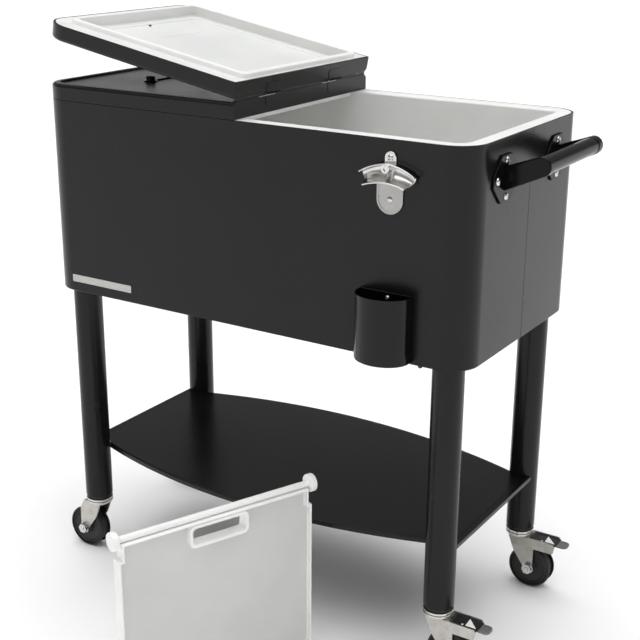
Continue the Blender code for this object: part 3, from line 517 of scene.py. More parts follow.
cabinet = {
    "half": (0.390, 0.1925), "low": 0.507, "top": 0.828, "corner": 0.046, "cornerSteps": 16,
    "sheet": 0.0012, "bottomReturn": 0.016, "fold": 0.0025, "hem": 0.0035, "seam": 0.0007,
    "edge": 0.0005, "lapHalf": 0.008, "lapShort": 0.003, "lapThick": 0.0006, "lapEdge": 0.0002,
}
tub = {
    "half": (0.3885, 0.191), "corner": 0.0445, "rim": 0.0265, "top": 0.828, "floor": 0.528, "draft": 0.006,
    "rimRadius": 0.004, "edgeRadius": 0.0022, "floorRadius": 0.009, "wall": 0.0025, "skirt": 0.003,
}


def makeShell(facts, name, node, side):
    halfX, halfY = facts["half"]
    low, top, seam = take(facts, "low top seam")
    shell = addBlock(name, (-halfX, -halfY, low), (halfX, halfY, top))
    roundEdges(upright, facts["corner"], facts["cornerSteps"])
    dropFaces(level(top))
    pick("FACE", level(low))
    bpy.ops.mesh.inset(thickness=facts["bottomReturn"])
    bpy.ops.mesh.delete(type="FACE")
    roundEdges(lambda edge: level(low)(edge) and meetsWall(edge), facts["fold"], 3)
    foldHem(top, facts["hem"], 0, halfX, halfY)
    bpy.ops.mesh.select_all(action="SELECT")
    bpy.ops.mesh.bisect(plane_co=(0, side * seam / 2, 0), plane_no=(0, 1, 0),
                        clear_inner=side > 0, clear_outer=side < 0)
    closeUp()
    applied(shell, "SOLIDIFY", thickness=facts["sheet"], offset=-1)
    dress(soften(shell, facts["edge"]), "powderCoat", "base", node)


# The lap behind the seam at each end
def makeLap(facts, name, side):
    half, short, thick = take(facts, "lapHalf lapShort lapThick")
    face = side * (facts["half"][0] - facts["sheet"] - hair)
    back = face - side * thick
    low, top = facts["low"] + short, facts["top"] - short
    lap = addBlock(name, (min(face, back), -half, low), (max(face, back), half, top))
    dress(rounded(lap, upright, facts["lapEdge"], 2), "powderCoat", "base")


def makeTub(facts):
    halfX, halfY = facts["half"]
    top, floor, rim, draft = take(facts, "top floor rim draft")
    skirt, deep = top - facts["skirt"], top - 3 * facts["skirt"]
    piece = addBlock("tubLiner", (-halfX, -halfY, skirt), (halfX, halfY, top))
    roundEdges(upright, facts["corner"], 14)
    dropFaces(level(skirt))
    pick("FACE", level(top))
    bpy.ops.mesh.inset(thickness=rim)
    pull((0, 0, floor - top))
    shrink = (1 - draft / (halfX - rim), 1 - draft / (halfY - rim), 1)
    bpy.ops.transform.resize(value=shrink, center_override=(0, 0, floor))
    roundEdges(level(floor), facts["floorRadius"], 4)
    roundEdges(lambda edge: level(top)(edge) and meetsWall(edge, high=deep), facts["rimRadius"], 4)
    roundEdges(lambda edge: level(top)(edge) and meetsWall(edge, low=deep), facts["edgeRadius"], 3)
    applied(piece, "SOLIDIFY", thickness=facts["wall"], offset=-1)
    dress(piece, "tubPlastic", "base", "tub")


makeShell(cabinet, "cabinetFront", "front_shell", -1)
makeShell(cabinet, "cabinetRear", "rear_shell", 1)
makeLap(cabinet, "lapRight", 1)
makeLap(cabinet, "lapLeft", -1)
makeTub(tub)
print("cabinet and tub made")


# Lids, modelled as a closed right lid: X runs from the hinge axis to the free end, Z up from the axis

lid = {
    "start": 0.0018, "end": 0.390, "half": 0.1925, "top": -0.002, "low": -0.0277, "corner": 0.046,
    "rolled": 0.006, "border": 0.0125, "recess": 0.0028, "recessEdge": 0.0008, "sheet": 0.0012,
    "hem": 0.0030, "hemEdge": 0.0009, "edge": 0.0004,
}
liner = {
    "inset": 0.0033, "plate": 0.0025, "sideInset": 0.0274, "hingeInset": 0.0070, "corner": 0.012,
    "rise": 0.008, "rim": 0.009, "rimCorner": 0.008, "depth": 0.017, "step": 0.020, "stepDepth": 0.0012,
    "wall": 0.0015, "rimRadius": 0.0022, "edge": 0.0012,
}
lidFoam = {"inset": 0.008, "gap": 0.0005, "edge": 0.002}
bow = {"fromHinge": 0.260, "half": 0.070, "radius": 0.0075, "bend": 0.013, "bar": 0.015981, "sides": 24,
       "footRadius": 0.0115, "footHeight": 0.0018, "footEdge": 0.0015}
hingeAxis = at(0, 0, 0.856)
foldTilt = 10.4
lidPlace = {
    "left": cart @ hingeAxis @ turned(math.pi),
    "right": cart @ hingeAxis @ turned(math.radians(foldTilt - 180), "Y"),
}


def atFreeEnd(edge):
    return upright(edge) and edge.verts[0].co.x > lid["end"] / 2


def makeLidShell(facts):
    start, end, half, top, low = take(facts, "start end half top low")
    piece = addBlock("lidShell", (start, -half, low), (end, half, top))
    roundEdges(atFreeEnd, facts["corner"], 16)
    dropFaces(level(low))
    pick("FACE", level(top))
    bpy.ops.mesh.inset(thickness=facts["border"])
    pull((0, 0, -facts["recess"]))
    roundEdges(level(top - facts["recess"]), facts["recessEdge"], 2)
    # The long sides and the free end are rolled over, and the hinge side stays square
    roundEdges(lambda edge: level(top)(edge) and max(corner.co.x for corner in edge.verts) > start + tiny
               and meetsWall(edge, high=top - facts["rolled"]), facts["rolled"], 6)
    foldHem(low, facts["hem"], (start + end) / 2, (end - start) / 2, half)
    roundEdges(lambda edge: level(low)(edge) and meetsWall(edge), facts["hemEdge"], 3)
    applied(piece, "SOLIDIFY", thickness=facts["sheet"], offset=-1)
    return soften(piece, facts["edge"])


def makeLidLiner(facts, shell):
    inset, wall, sunk, deeper = take(facts, "inset wall rim stepDepth")
    low, end, half = shell["low"], shell["end"] - inset, shell["half"] - inset
    piece = addBlock("lidLiner", (shell["start"] + inset, -half, low), (end, half, low + facts["plate"]))
    roundEdges(atFreeEnd, shell["corner"] - inset, 14)
    tip = low - facts["rise"]
    floor = tip + facts["depth"]
    lowX, highX = shell["start"] + facts["hingeInset"], end - facts["sideInset"]
    side = half - facts["sideInset"]
    # The raised block carries the tray, and the tray has a second, shallow step inside it
    steps = ((0, facts["corner"], tip, floor + deeper + wall, "UNION", tip),
             (sunk, facts["rimCorner"], tip - past, floor, "DIFFERENCE", floor),
             (sunk + facts["step"], facts["rimCorner"], tip - past, floor + deeper, "DIFFERENCE", None))
    for inward, corner, bottom, top, operation, edge in steps:
        outline = roundBox(lowX + inward, highX - inward, inward - side, side - inward, corner, 8)
        block = slab("block", outline, bottom, top)
        if edge is not None:
            rounded(block, level(edge), facts["rimRadius"], 4)
        piece = combine(piece, operation, block)

    def inRecess(face):
        x, y, z = face.calc_center_median()
        near, far, across = lowX + sunk - tiny, highX - sunk + tiny, side - sunk + tiny
        return z > tip + facts["rimRadius"] and abs(y) < across and near < x < far

    # The whole recess, its walls and both floors, takes a darker copy of the white polyethylene: painted
    # shade
    return twoLooks(soften(piece, facts["edge"], 3), "tubPlastic", "trayShadePlastic", inRecess)


def makeLidFoam(facts, shell, liner):
    inset, gap = facts["inset"], facts["gap"]
    low = shell["low"] - liner["rise"] + liner["depth"] + liner["stepDepth"] + liner["wall"] + gap
    high = shell["top"] - shell["recess"] - shell["sheet"] - gap
    half = shell["half"] - inset
    piece = addBlock("lidFoam", (shell["start"] + inset, -half, low), (shell["end"] - inset, half, high))
    roundEdges(atFreeEnd, shell["corner"] - inset, 8)
    roundEdges(level(high), facts["edge"], 2)
    return piece


# A rod drawn up out of the panel, bent over, run across and bent down again, with a collar at each foot
def makeBow(facts, shell):
    x, half, bend, bar = take(facts, "fromHinge half bend bar")
    radius, rise, edge = take(facts, "footRadius footHeight footEdge")
    foot = shell["top"] - shell["recess"] + 2 * hair
    deselectAll()
    bpy.ops.mesh.primitive_circle_add(vertices=facts["sides"], radius=facts["radius"], fill_type="NGON",
                                      location=(x, -half, foot))
    piece = takeUp("lidHandle")
    quarter = {"steps": 7, "angle": math.pi / 2, "axis": (-1, 0, 0)}
    pull((0, 0, bar - bend - foot))
    bpy.ops.mesh.spin(center=(x, -half + bend, bar - bend), **quarter)
    pull((0, 2 * (half - bend), 0))
    bpy.ops.mesh.spin(center=(x, half - bend, bar - bend), **quarter)
    pull((0, 0, foot - bar + bend))
    closeUp()
    profile = [(0, 0), (radius, 0), (radius, rise * 0.5), (radius - edge, rise), (0, rise)]
    for side in (-1, 1):
        piece = together(piece, put(turnUp("collar", profile, 28), at(x, side * half, foot)))
    return piece


lidPieces = (
    (model(makeLidShell(lid)), "lidShell", "lid_shell_", "powderCoat", "painted_steel"),
    (model(makeLidLiner(liner, lid)), "lidLiner", "lid_liner_", None, "tub_plastic"),
    (model(makeLidFoam(lidFoam, lid, liner)), "lidFoam", "lid_foam_", "foam", "foam"),
    (model(makeBow(bow, lid)), "lidHandle", "lid_handle_", "glossEnamel", "gloss_black"),
)
for side in ("left", "right"):
    for piece, name, node, look, slot in lidPieces:
        stamp(piece, name + tag(side), look, "lid_" + side, lidPlace[side], node + side)
print("lids made")


# Hinges, drawn in the closed right lid's frame round the hinge axis

hinge = {
    "fromMiddle": 0.089, "half": 0.020, "back": 0.0017, "thick": 0.0006, "reach": 0.018, "corner": 0.003,
    "knuckle": 0.0019, "bore": 0.0013, "boreOut": 0.002, "knuckleLong": 0.013, "gap": 0.0003, "room": 0.0023,
    "wire": 0.0006, "wireAt": 0.0028, "wireLong": 0.045, "eyelet": (0.0009, 0.0018), "eyeletEdge": 0.0003,
    "wireStart": 0.001, "wirePoint": 0.0004, "eyeletHigh": (-0.0006, 0.0008), "edge": 0.00026,
    "beadX": (-0.0046, -0.0026), "beadZ": (-0.0019, 0.0015), "beadShort": 0.004, "beadEdge": 0.0006,
}


def makeLeaf(facts, outer):
    half, back, long, gap = take(facts, "half back knuckleLong gap")
    reach = half + facts["boreOut"]
    leaf = addBlock("leaf", (back - facts["thick"], -half, -facts["reach"]), (back, half, 0))
    roundEdges(lambda edge: runsAlong(0)(edge) and edge.verts[0].co.z < -tiny, facts["corner"], 5)
    # The outer leaf has a knuckle at each end, and the inner leaf's one turns between them
    knuckles, rooms = [(-half, -half + long), (half - long, half)], [(-half + long, half - long)]
    if not outer:
        knuckles = [(-half + long + gap, half - long - gap)]
        rooms = [(-half - gap, -half + long + gap), (half - long - gap, half + gap)]
    cuts = [("DIFFERENCE", facts["room"], *room, 24) for room in rooms]
    cuts += [("UNION", facts["knuckle"], *knuckle, 24) for knuckle in knuckles]
    cuts += [("DIFFERENCE", facts["bore"], -reach, reach, 20)]
    for operation, radius, low, high, sides in cuts:
        leaf = combine(leaf, operation, put(rod("barrel", radius, low, high, sides), lay["Y"]))
    return soften(leaf, facts["edge"], 3)


# A spring wire lies in front of the hinge and ends in an eyelet
def makeWire(facts):
    thin, start, end, point = take(facts, "wire wireStart wireLong wirePoint")
    profile = [(0, start), (thin, start), (thin, end - point), (thin * 0.5, end), (0, end)]
    return put(turnUp("wire", profile, 16), lay["Y"])


def makeEyelet(facts):
    (bore, rim), (low, high), edge = take(facts, "eyelet eyeletHigh eyeletEdge")
    profile = [(bore, low), (rim - edge, low), (rim, low + edge), (rim, high - edge), (rim - edge, high),
               (bore, high)]
    return put(turnUp("eyelet", profile, 24, closed=True), lay["X"])


# A black bead fills the gap between the folded lids along the hinge side
def makeBead(facts, half):
    (near, far), (low, high) = facts["beadX"], facts["beadZ"]
    side = half - facts["beadShort"]
    bead = addBlock("hingeBead", (near, -side, low), (far, side, high))
    return rounded(bead, runsAlong(1), facts["beadEdge"], 3)


leaves = {"left": model(makeLeaf(hinge, True)), "right": model(makeLeaf(hinge, False))}
wireModel, eyeletModel = model(makeWire(hinge)), model(makeEyelet(hinge))
for name, y in (("front", -hinge["fromMiddle"]), ("rear", hinge["fromMiddle"])):
    for side, across in (("left", -y), ("right", y)):
        stamp(leaves[side], "hingeLeaf" + tag(side) + tag(name), "powderCoat", "lid_" + side,
              lidPlace[side] @ at(0, across), "hinge_leaf_" + side + "_" + name)
    front = cart @ hingeAxis @ at(hinge["wireAt"], y)
    stamp(wireModel, "hingeWire" + tag(name), "polishedSteel", "lid_left", front)
    stamp(eyeletModel, "hingeEyelet" + tag(name), "glossEnamel", "lid_left", front)
dress(makeBead(hinge, lid["half"]), "powderCoat", "lid_left", place=cart @ hingeAxis)
print("hinges made")


# Screws

# A button-head screw drawn along Z with a cross recess, its seat at zero
def makeScrew(facts):
    radius, rise, shank, grip = take(facts, "radius rise shank grip")
    dome = arc(0, 0, radius, 90, 0, 5, rise)
    under = [(radius * 0.98, -hair), (shank, -hair), (shank, -grip), (0, -grip)]
    screw = turnUp("screw", dome + under, 28)
    long, narrow, deep = radius * 0.55, radius * 0.11, rise * 0.55
    for halfX, halfY in ((long, narrow), (narrow, long)):
        recess = addBlock("recess", (-halfX, -halfY, deep), (halfX, halfY, rise * 2))
        screw = combine(screw, "DIFFERENCE", recess)
    return screw


# A black screw sits in each tray floor in place of a small vent hole, and its black stands in for the hole's
# shade: painted shade
linerScrew = {"at": (0.324, 0), "radius": 0.0030, "rise": 0.0012, "shank": 0.0014, "grip": 0.0015}
linerScrewModel = model(makeScrew(linerScrew))
trayFloor = lid["low"] - liner["rise"] + liner["depth"]
linerSeat = at(*linerScrew["at"], trayFloor - hair) @ turned(math.pi, "X")
for side in ("left", "right"):
    stamp(linerScrewModel, "linerScrew" + tag(side), "blackPlastic", "lid_" + side,
          lidPlace[side] @ linerSeat)


# Legs, shelf and its rails

leg = {"at": (0.347, 0.155), "radius": 0.024, "wall": 0.0015, "low": 0.1106, "high": 0.5039, "edge": 0.0006,
       "sides": 56}
shelf = {
    "half": 0.357, "apex": 0.199, "endHalf": 0.133, "top": 0.211, "lip": 0.009, "sheet": 0.0012,
    "bowEdge": 0.0030, "edge": 0.0003, "steps": 36, "notch": 0.0243, "railFar": 0.3667, "railGap": 0.0003,
    "railHalf": 0.155, "railHeight": 0.0086, "railEdge": 0.0016, "ledge": (-0.012, 0.004),
    "ledgeShort": 0.008, "ledgeDown": (0.0030, 0.0015), "ledgeCorner": 0.002,
}
corners = [(side + "_" + end, x * leg["at"][0], y * leg["at"][1]) for end, x in (("left", -1), ("right", 1))
           for side, y in (("front", -1), ("rear", 1))]


def makeLeg(facts):
    radius, low, high, edge = take(facts, "radius low high edge")
    inner = radius - facts["wall"]
    profile = [(inner, high), (radius - edge, high), (radius, high - edge), (radius, low + edge),
               (radius - edge, low), (inner, low)]
    return turnUp("leg", profile, facts["sides"], closed=True)


# The bowed outline of the shelf: an arc through the apex on each long side
def bowed(facts, shrink, halfLength):
    half, apex, endHalf, steps = take(facts, "half apex endHalf steps")
    rise = apex - endHalf
    radius = (half ** 2 + rise ** 2) / (2 * rise)
    points = []
    for side in (-1, 1):
        for step in range(steps + 1):
            x = -side * halfLength * (1 - 2 * step / steps)
            points.append((x, side * (apex - radius + math.sqrt((radius - shrink) ** 2 - x ** 2))))
    return points


# Round tools that cut the shelf and its rails free of the legs
def notches(facts, side=None):
    low, high = facts["top"] - facts["lip"] - past, facts["top"] + past
    return [put(rod("notch", facts["notch"], low, high, leg["sides"]), at(x, y))
            for name, x, y in corners if side is None or x * side > 0]


def makeShelf(facts):
    half, top, sheet = take(facts, "half top sheet")
    low = top - facts["lip"]

    def alongBow(edge):
        return level(top)(edge) and not all(abs(abs(corner.co.x) - half) < tiny for corner in edge.verts)

    piece = rounded(slab("shelf", bowed(facts, 0, half), low, top), alongBow, facts["bowEdge"], 4)
    under = slab("under", bowed(facts, sheet, half + 0.002), low - past, top - sheet)
    return soften(combine(piece, "DIFFERENCE", under, *notches(facts)), facts["edge"])


def makeRail(facts):
    near, far, half, top = facts["half"] + facts["railGap"], facts["railFar"], facts["railHalf"], facts["top"]
    rail = addBlock("rail", (near, -half, top - facts["railHeight"]), (far, half, top))
    rounded(rail, runsAlong(1), facts["railEdge"], 4)
    (inward, outward), (down, up) = facts["ledge"], facts["ledgeDown"]
    side = facts["endHalf"] - facts["ledgeShort"]
    ledge = addBlock("ledge", (near + inward, -side, top - down), (near + outward, side, top - up))
    rail = combine(rail, "UNION", rounded(ledge, upright, facts["ledgeCorner"], 3))
    return soften(combine(rail, "DIFFERENCE", *notches(facts, 1)), facts["edge"])


legModel, railModel = model(makeLeg(leg)), model(makeRail(shelf))
for name, x, y in corners:
    stamp(legModel, "leg" + tag(name), "powderCoat", "base", cart @ at(x, y), "leg_" + name)
dress(makeShelf(shelf), "powderCoat", "base", "shelf")
for side, turn in (("right", 0), ("left", math.pi)):
    stamp(railModel, "shelfRail" + tag(side), "powderCoat", "base", cart @ turned(turn), "shelf_rail_" + side)
print("legs and shelf made")


# Casters, each drawn round its swivel axis with X along its trail

caster = {
    "race": 0.024, "raceLow": 0.0952, "raceTop": 0.105, "plug": 0.0222, "plugTop": 0.1306, "kingpin": 0.005,
    "kingpinHead": 0.008, "crownTop": 0.0949, "crownRadius": 0.019, "sheet": 0.0025, "half": 0.0145,
    "front": 0.024, "back": 0.014, "waist": (-0.003, 0.066), "trail": 0.026, "axleHeight": 0.038,
    "eye": 0.0080, "throat": (0.0335, 0.0765), "armLow": (0.0685, 0.0765), "armEnd": (0.0714, 0.0895),
    "armTop": (0.0674, 0.0949), "pressed": 0.0019, "forkEdge": 0.0005, "gap": 0.0003, "wheel": 0.038,
    "wheelHalf": 0.013, "tread": 0.004, "hub": 0.013, "hubHalf": 0.0142, "axle": 0.004, "head": 0.007,
    "headThick": 0.004, "nutEnd": 0.008, "nut": 0.0094, "nutThick": 0.0055, "nutEdge": 0.0007,
    "washer": (0.0100, 0.0010), "pivot": (0.052, 0.086), "pin": 0.0025, "barrel": 0.004, "webHalf": 0.002,
    "pedalBack": 0.027, "pedalFront": 0.072, "pedalTop": 0.0925, "pedalThick": 0.002, "pedalCorner": 0.0015,
    "pedalEdge": 0.0003, "groove": (0.001, 0.0006), "grooveShort": 0.0025, "toe": 0.090, "toeHalf": 0.0115,
    "toeThick": 0.003, "toeCorner": 0.008, "toeEdge": 0.0012, "toeRim": 0.002, "toeField": 0.0006,
    "marks": (((0.0490, 0.0125), (0.0505, -0.0085), (0.0685, -0.0085)),
              ((0.0435, -0.0095), (0.0470, -0.0095), (0.0465, -0.0062), (0.0440, -0.0062))),
}


# Two pressed bands with a groove between them, and the kingpin with its head below
def makeRace(facts):
    low, top, radius, pin, head = take(facts, "raceLow raceTop race kingpin kingpinHead")
    middle = (low + top) / 2
    profile = [(0, top)]
    for start, end in ((top, middle + 0.0004), (middle - 0.0004, low)):
        height = start - end
        profile += [(radius - 0.0013, start), (radius - 0.0004, start - height * 0.12),
                    (radius, start - height * 0.4), (radius - 0.0001, start - height * 0.7),
                    (radius - 0.0012, end)]
    seat = facts["crownTop"] - facts["sheet"] - facts["gap"]
    profile += [(pin, low), (pin, seat), (head, seat), (head, seat - 0.0018), (head - 0.0012, seat - 0.0025),
                (0, seat - 0.0025)]
    return turnUp("race", profile, 56)


def makePlug(facts):
    radius, top, low = facts["plug"], facts["plugTop"], facts["raceTop"] + hair
    return turnUp("plug", [(0, top), (radius - 0.0006, top), (radius, top - 0.0006), (radius, leg["low"]),
                           (radius - 0.002, low), (0, low)])


def makeFork(facts, brake):
    top, half, sheet, back, gap = take(facts, "crownTop half sheet back gap")
    trail, height, eye = take(facts, "trail axleHeight eye")
    outer = half + sheet
    outline = [(-back, top), facts["waist"]] + arc(trail, height, eye, 190, 370, 16) + [facts["throat"]]
    outline += take(facts, "armLow armEnd armTop") if brake else [(facts["front"], top)]
    turning = [Vector(corner) for corner in take(facts, "waist throat armEnd armTop armLow")]

    def isPressed(edge):
        return upright(edge) and any((edge.verts[0].co.xy - corner).length < tiny for corner in turning)

    sides = []
    for low in (half, -outer):
        plate = rounded(slab("side", outline, low, low + sheet), isPressed, facts["pressed"], 4)
        sides.append(put(plate, lay["Y"]))
    crown = rod("crown", facts["crownRadius"], top - sheet, top, 48)
    wide = outer - sheet / 2
    deck = addBlock("deck", (sheet - back, -wide, top - sheet), (facts["front"], wide, top))
    reach = outer + past
    hole = put(rod("hole", facts["axle"] + gap, -reach, reach), at(trail, 0, height) @ lay["Y"])
    bore = rod("bore", facts["kingpin"] + gap, top - past, top + past)
    fork = combine(combine(crown, "UNION", deck, *sides), "DIFFERENCE", hole, bore)
    return soften(fork, facts["forkEdge"], 2, 35)


def makeWheel(facts):
    radius, half, tread, hub, hubHalf = take(facts, "wheel wheelHalf tread hub hubHalf")
    # The hub, the dished web and the shoulder of the tread
    side = [(facts["axle"] + facts["gap"], hubHalf), (hub - 0.0015, hubHalf), (hub, hubHalf - 0.0012)]
    side += [(hub + 0.0004, half - 0.003), (hub + 0.006, half - 0.0034)]
    side += [(radius - tread * 2.6, half - 0.0026), (radius - tread * 2.2, half - 0.0002)]
    side += [(radius - tread + across, half - tread + high) for high, across in arc(0, 0, tread, 90, 0, 6)]
    return put(turnUp("wheel", mirrored(side), 72, closed=True), lay["Y"])


def makeAxle(facts):
    axle, head, rise, nutSize, thick, gap = take(facts, "axle head headThick nut nutThick gap")
    outer = facts["half"] + facts["sheet"] + gap
    end, (rim, washerThick) = -outer - facts["nutEnd"], facts["washer"]
    shares = ((0, 1), (0.5, 0.96), (0.82, 0.72), (1, 0.3))
    dome = [(head * across, outer + rise * up) for across, up in shares]
    shank = [(head, outer), (axle, outer), (axle, end + 0.0012), (axle - 0.0008, end), (0, end)]
    bolt = turnUp("bolt", dome + shank, 32)
    deselectAll()
    bpy.ops.mesh.primitive_cylinder_add(vertices=6, radius=nutSize, depth=thick, rotation=(0, 0, math.pi / 6),
                                        location=(0, 0, -outer - thick / 2 - 0.0012))
    nut = soften(takeUp("nut"), facts["nutEdge"])
    low = -outer - washerThick
    washer = turnUp("washer", [(axle, -outer), (rim, -outer), (rim, low), (axle, low)], 32, closed=True)
    return put(together(bolt, nut, washer), at(facts["trail"], 0, facts["axleHeight"]) @ lay["Y"])


def makePedal(facts):
    top, back, front, thick, webHalf = take(facts, "pedalTop pedalBack pedalFront pedalThick webHalf")
    (pivotX, pivotZ), (wide, deep), half = facts["pivot"], facts["groove"], facts["half"] - 5 * hair
    plate = addBlock("pedal", (back, -half, top - thick), (front, half, top))
    rounded(plate, upright, facts["pedalCorner"], 3)
    side = half - facts["grooveShort"]
    for x in (back + 0.004, back + 0.0065, front - 0.0035):
        groove = addBlock("groove", (x, -side, top - deep), (x + wide, side, top + past))
        plate = combine(plate, "DIFFERENCE", groove)
    side, reach = half - 3 * hair, facts["half"] - hair
    web = addBlock("web", (pivotX - webHalf, -side, pivotZ), (pivotX + webHalf, side, top - thick / 2))
    pivot = at(pivotX, 0, pivotZ) @ lay["Y"]
    barrel = put(rod("barrel", facts["barrel"], -half, half), pivot)
    pin = put(rod("pin", facts["pin"], -reach, reach), pivot)
    return soften(combine(plate, "UNION", web, barrel, pin), facts["pedalEdge"], 2, 45)


# The pedal's toe is a tab with a sunk field
def makeToe(facts):
    front, toe, half, top, corner = take(facts, "pedalFront toe toeHalf pedalTop toeCorner")
    start, middle, side = front + 2 * hair, toe - corner, half - corner
    outline = [(start, -half)] + arc(middle, -side, corner, 270, 360, 6) + arc(middle, side, corner, 0, 90, 6)
    tab = slab("toe", outline + [(start, half)], top - facts["toeThick"], top)
    rounded(tab, level(top), facts["toeEdge"], 3)
    edit(tab)
    pick("FACE", level(top))
    bpy.ops.mesh.inset(thickness=facts["toeRim"])
    pull((0, 0, -facts["toeField"]))
    leaveEdit()
    return tab


# A white triangle and a small tab, set into the tread
def makeMark(facts):
    top = facts["pedalTop"]
    return together(*[soften(slab("mark", outline, top - 4 * hair, top + 2 * hair), 1.5 * hair, 1, 30)
                      for outline in facts["marks"]])


casterModels = {
    "race": model(makeRace(caster)), "plug": model(makePlug(caster)), "wheel": model(makeWheel(caster)),
    "axle": model(makeAxle(caster)), "pedal": model(makePedal(caster)), "toe": model(makeToe(caster)),
    "mark": model(makeMark(caster)),
}
forkModels = {braked: model(makeFork(caster, braked)) for braked in (True, False)}
# What a caster is made of: model, name, look, body, node and slot
casterPieces = (
    ("race", "casterRace", "polishedSteel", "base", "caster_stem_", "black_plastic"),
    ("plug", "casterPlug", "blackPlastic", "base", None, "black_plastic"),
    ("fork", "casterFork", "zincPlate", "caster_", "caster_fork_", "zinc"),
    ("axle", "casterAxle", "polishedSteel", "caster_", "caster_axle_", "zinc"),
    ("wheel", "casterWheel", "wheelPolymer", "wheel_", "caster_wheel_", "rubber"),
    ("pedal", "brakePedal", "blackPlastic", "pedal_", "brake_pedal_", "black_plastic"),
    ("toe", "pedalToe", "greyPlastic", "pedal_", None, "black_plastic"),
    ("mark", "pedalMark", "whitePrint", "pedal_", None, "black_plastic"),
)
for name, x, y in corners:
    braked = x > 0
    place = cart @ at(x, y) @ turned(0 if braked else math.pi)
    # The nut faces the front of the cooler on every caster
    axleTurn = at(caster["trail"]) @ turned(math.pi) @ at(-caster["trail"]) if braked else at()
    moves = {"axle": axleTurn, "wheel": at(caster["trail"], 0, caster["axleHeight"])}
    for kind, piece, look, body, node, slot in casterPieces if braked else casterPieces[:5]:
        source = forkModels[braked] if kind == "fork" else casterModels[kind]
        stamp(source, piece + tag(name), look, body if body == "base" else body + name,
              place @ moves.get(kind, at()), node and node + name)
print("casters made")


# Push handle

pushHandle = {
    "wall": 0.3903, "z": 0.7713, "halfSpan": 0.092, "plate": 0.003, "plateHalf": (0.042, 0.034),
    "flats": (0.016, 0.008), "arm": 0.016, "armEdge": 0.0022, "rootHalf": 0.0175, "eyeReach": 0.0565,
    "eyeRise": 0.0227, "eye": 0.0139, "grip": 0.013, "spigot": 0.008, "spigotLong": 0.012,
    "boreEnd": 0.0045, "plateEdge": 0.0009, "gap": 0.0003,
    "screwsAt": ((0, 0.0255), (0, -0.0255), (0.029, 0), (-0.029, 0)), "screwTurn": 0.7,  # in radians
}
handleScrew = {"radius": 0.0056, "rise": 0.0030, "shank": 0.0022, "grip": 0.0035}
gripPlace = (pushHandle["wall"] + pushHandle["eyeReach"], 0, pushHandle["z"] + pushHandle["eyeRise"])


# Where on a circle, in degrees, a line from a point touches it
def tangentTurn(point, center, radius, side):
    offset = Vector(point) - Vector(center)
    return math.degrees(math.atan2(offset.y, offset.x) + side * math.acos(radius / offset.length))


def makeBracket(facts):
    wall, z, rootHalf, radius = take(facts, "wall z rootHalf eye")
    face, armHalf = wall + facts["plate"], facts["arm"] / 2
    (wide, high), (flatY, flatZ) = facts["plateHalf"], facts["flats"]
    right = [(flatY, -high), (wide, -flatZ), (wide, flatZ), (flatY, high)]
    outline = right + [(-across, up) for across, up in reversed(right)]
    plate = put(slab("bracket", [(across, up + z) for across, up in outline], wall, face), lay["X"])
    plate = soften(plate, facts["plateEdge"], 3, 30)
    eye, root = (wall + facts["eyeReach"], z + facts["eyeRise"]), face - facts["plate"] / 2
    top, low = (root, z + rootHalf), (root, z - rootHalf)
    start = tangentTurn(top, eye, radius, -1) % 360
    end = tangentTurn(low, eye, radius, 1) % 360 - 360

    def onRim(edge):
        flat = level(armHalf)(edge) or level(-armHalf)(edge)
        return flat and max(corner.co.x for corner in edge.verts) > root + tiny

    arm = slab("arm", [low, top] + arc(*eye, radius, start, end, 28), -armHalf, armHalf)
    return combine(plate, "UNION", put(rounded(arm, onRim, facts["armEdge"], 4), lay["Y"]))


# The blind hole for the grip's spigot opens on the inner side
def boreBracket(bracket, facts, inward):
    reach = facts["arm"] / 2 + past
    turn = lay["Y"] if inward > 0 else lay["Y"] @ turned(math.pi, "X")
    bore = rod("bore", facts["spigot"] + facts["gap"], -reach, facts["boreEnd"], 40)
    put(bore, at(*gripPlace) @ turn)
    return combine(bracket, "DIFFERENCE", bore)


def makeGrip(facts):
    shoulder = facts["halfSpan"] - facts["arm"] / 2 - facts["gap"]
    end = facts["halfSpan"] - facts["arm"] / 2 + facts["spigotLong"]
    radius, spigot = facts["grip"], facts["spigot"]
    profile = [(0, end), (spigot - 0.0005, end), (spigot, end - 0.0005), (spigot, shoulder),
               (radius - 0.0012, shoulder), (radius - 0.0003, shoulder - 0.0004), (radius, shoulder - 0.0015)]
    return put(turnUp("handleGrip", mirrored(profile), 64), at(*gripPlace) @ lay["Y"])


bracketModel, screwModel = model(makeBracket(pushHandle)), model(makeScrew(handleScrew))
for side, y in (("front", -pushHandle["halfSpan"]), ("rear", pushHandle["halfSpan"])):
    bracket = boreBracket(copyOf(bracketModel, "handleBracket" + tag(side)), pushHandle, -y)
    dress(bracket, "deepEnamel", "base", "handle_bracket_" + side, cart @ at(0, y))
    for number, (across, up) in enumerate(pushHandle["screwsAt"]):
        seat = at(pushHandle["wall"] + pushHandle["plate"] + hair, y + across, pushHandle["z"] + up)
        stamp(screwModel, "handleScrew" + tag(side) + str(number), "polishedSteel", "base",
              cart @ seat @ lay["X"] @ turned(number * pushHandle["screwTurn"]))
dress(makeGrip(pushHandle), "deepEnamel", "base", "handle_grip")
print("push handle made")


# Opener

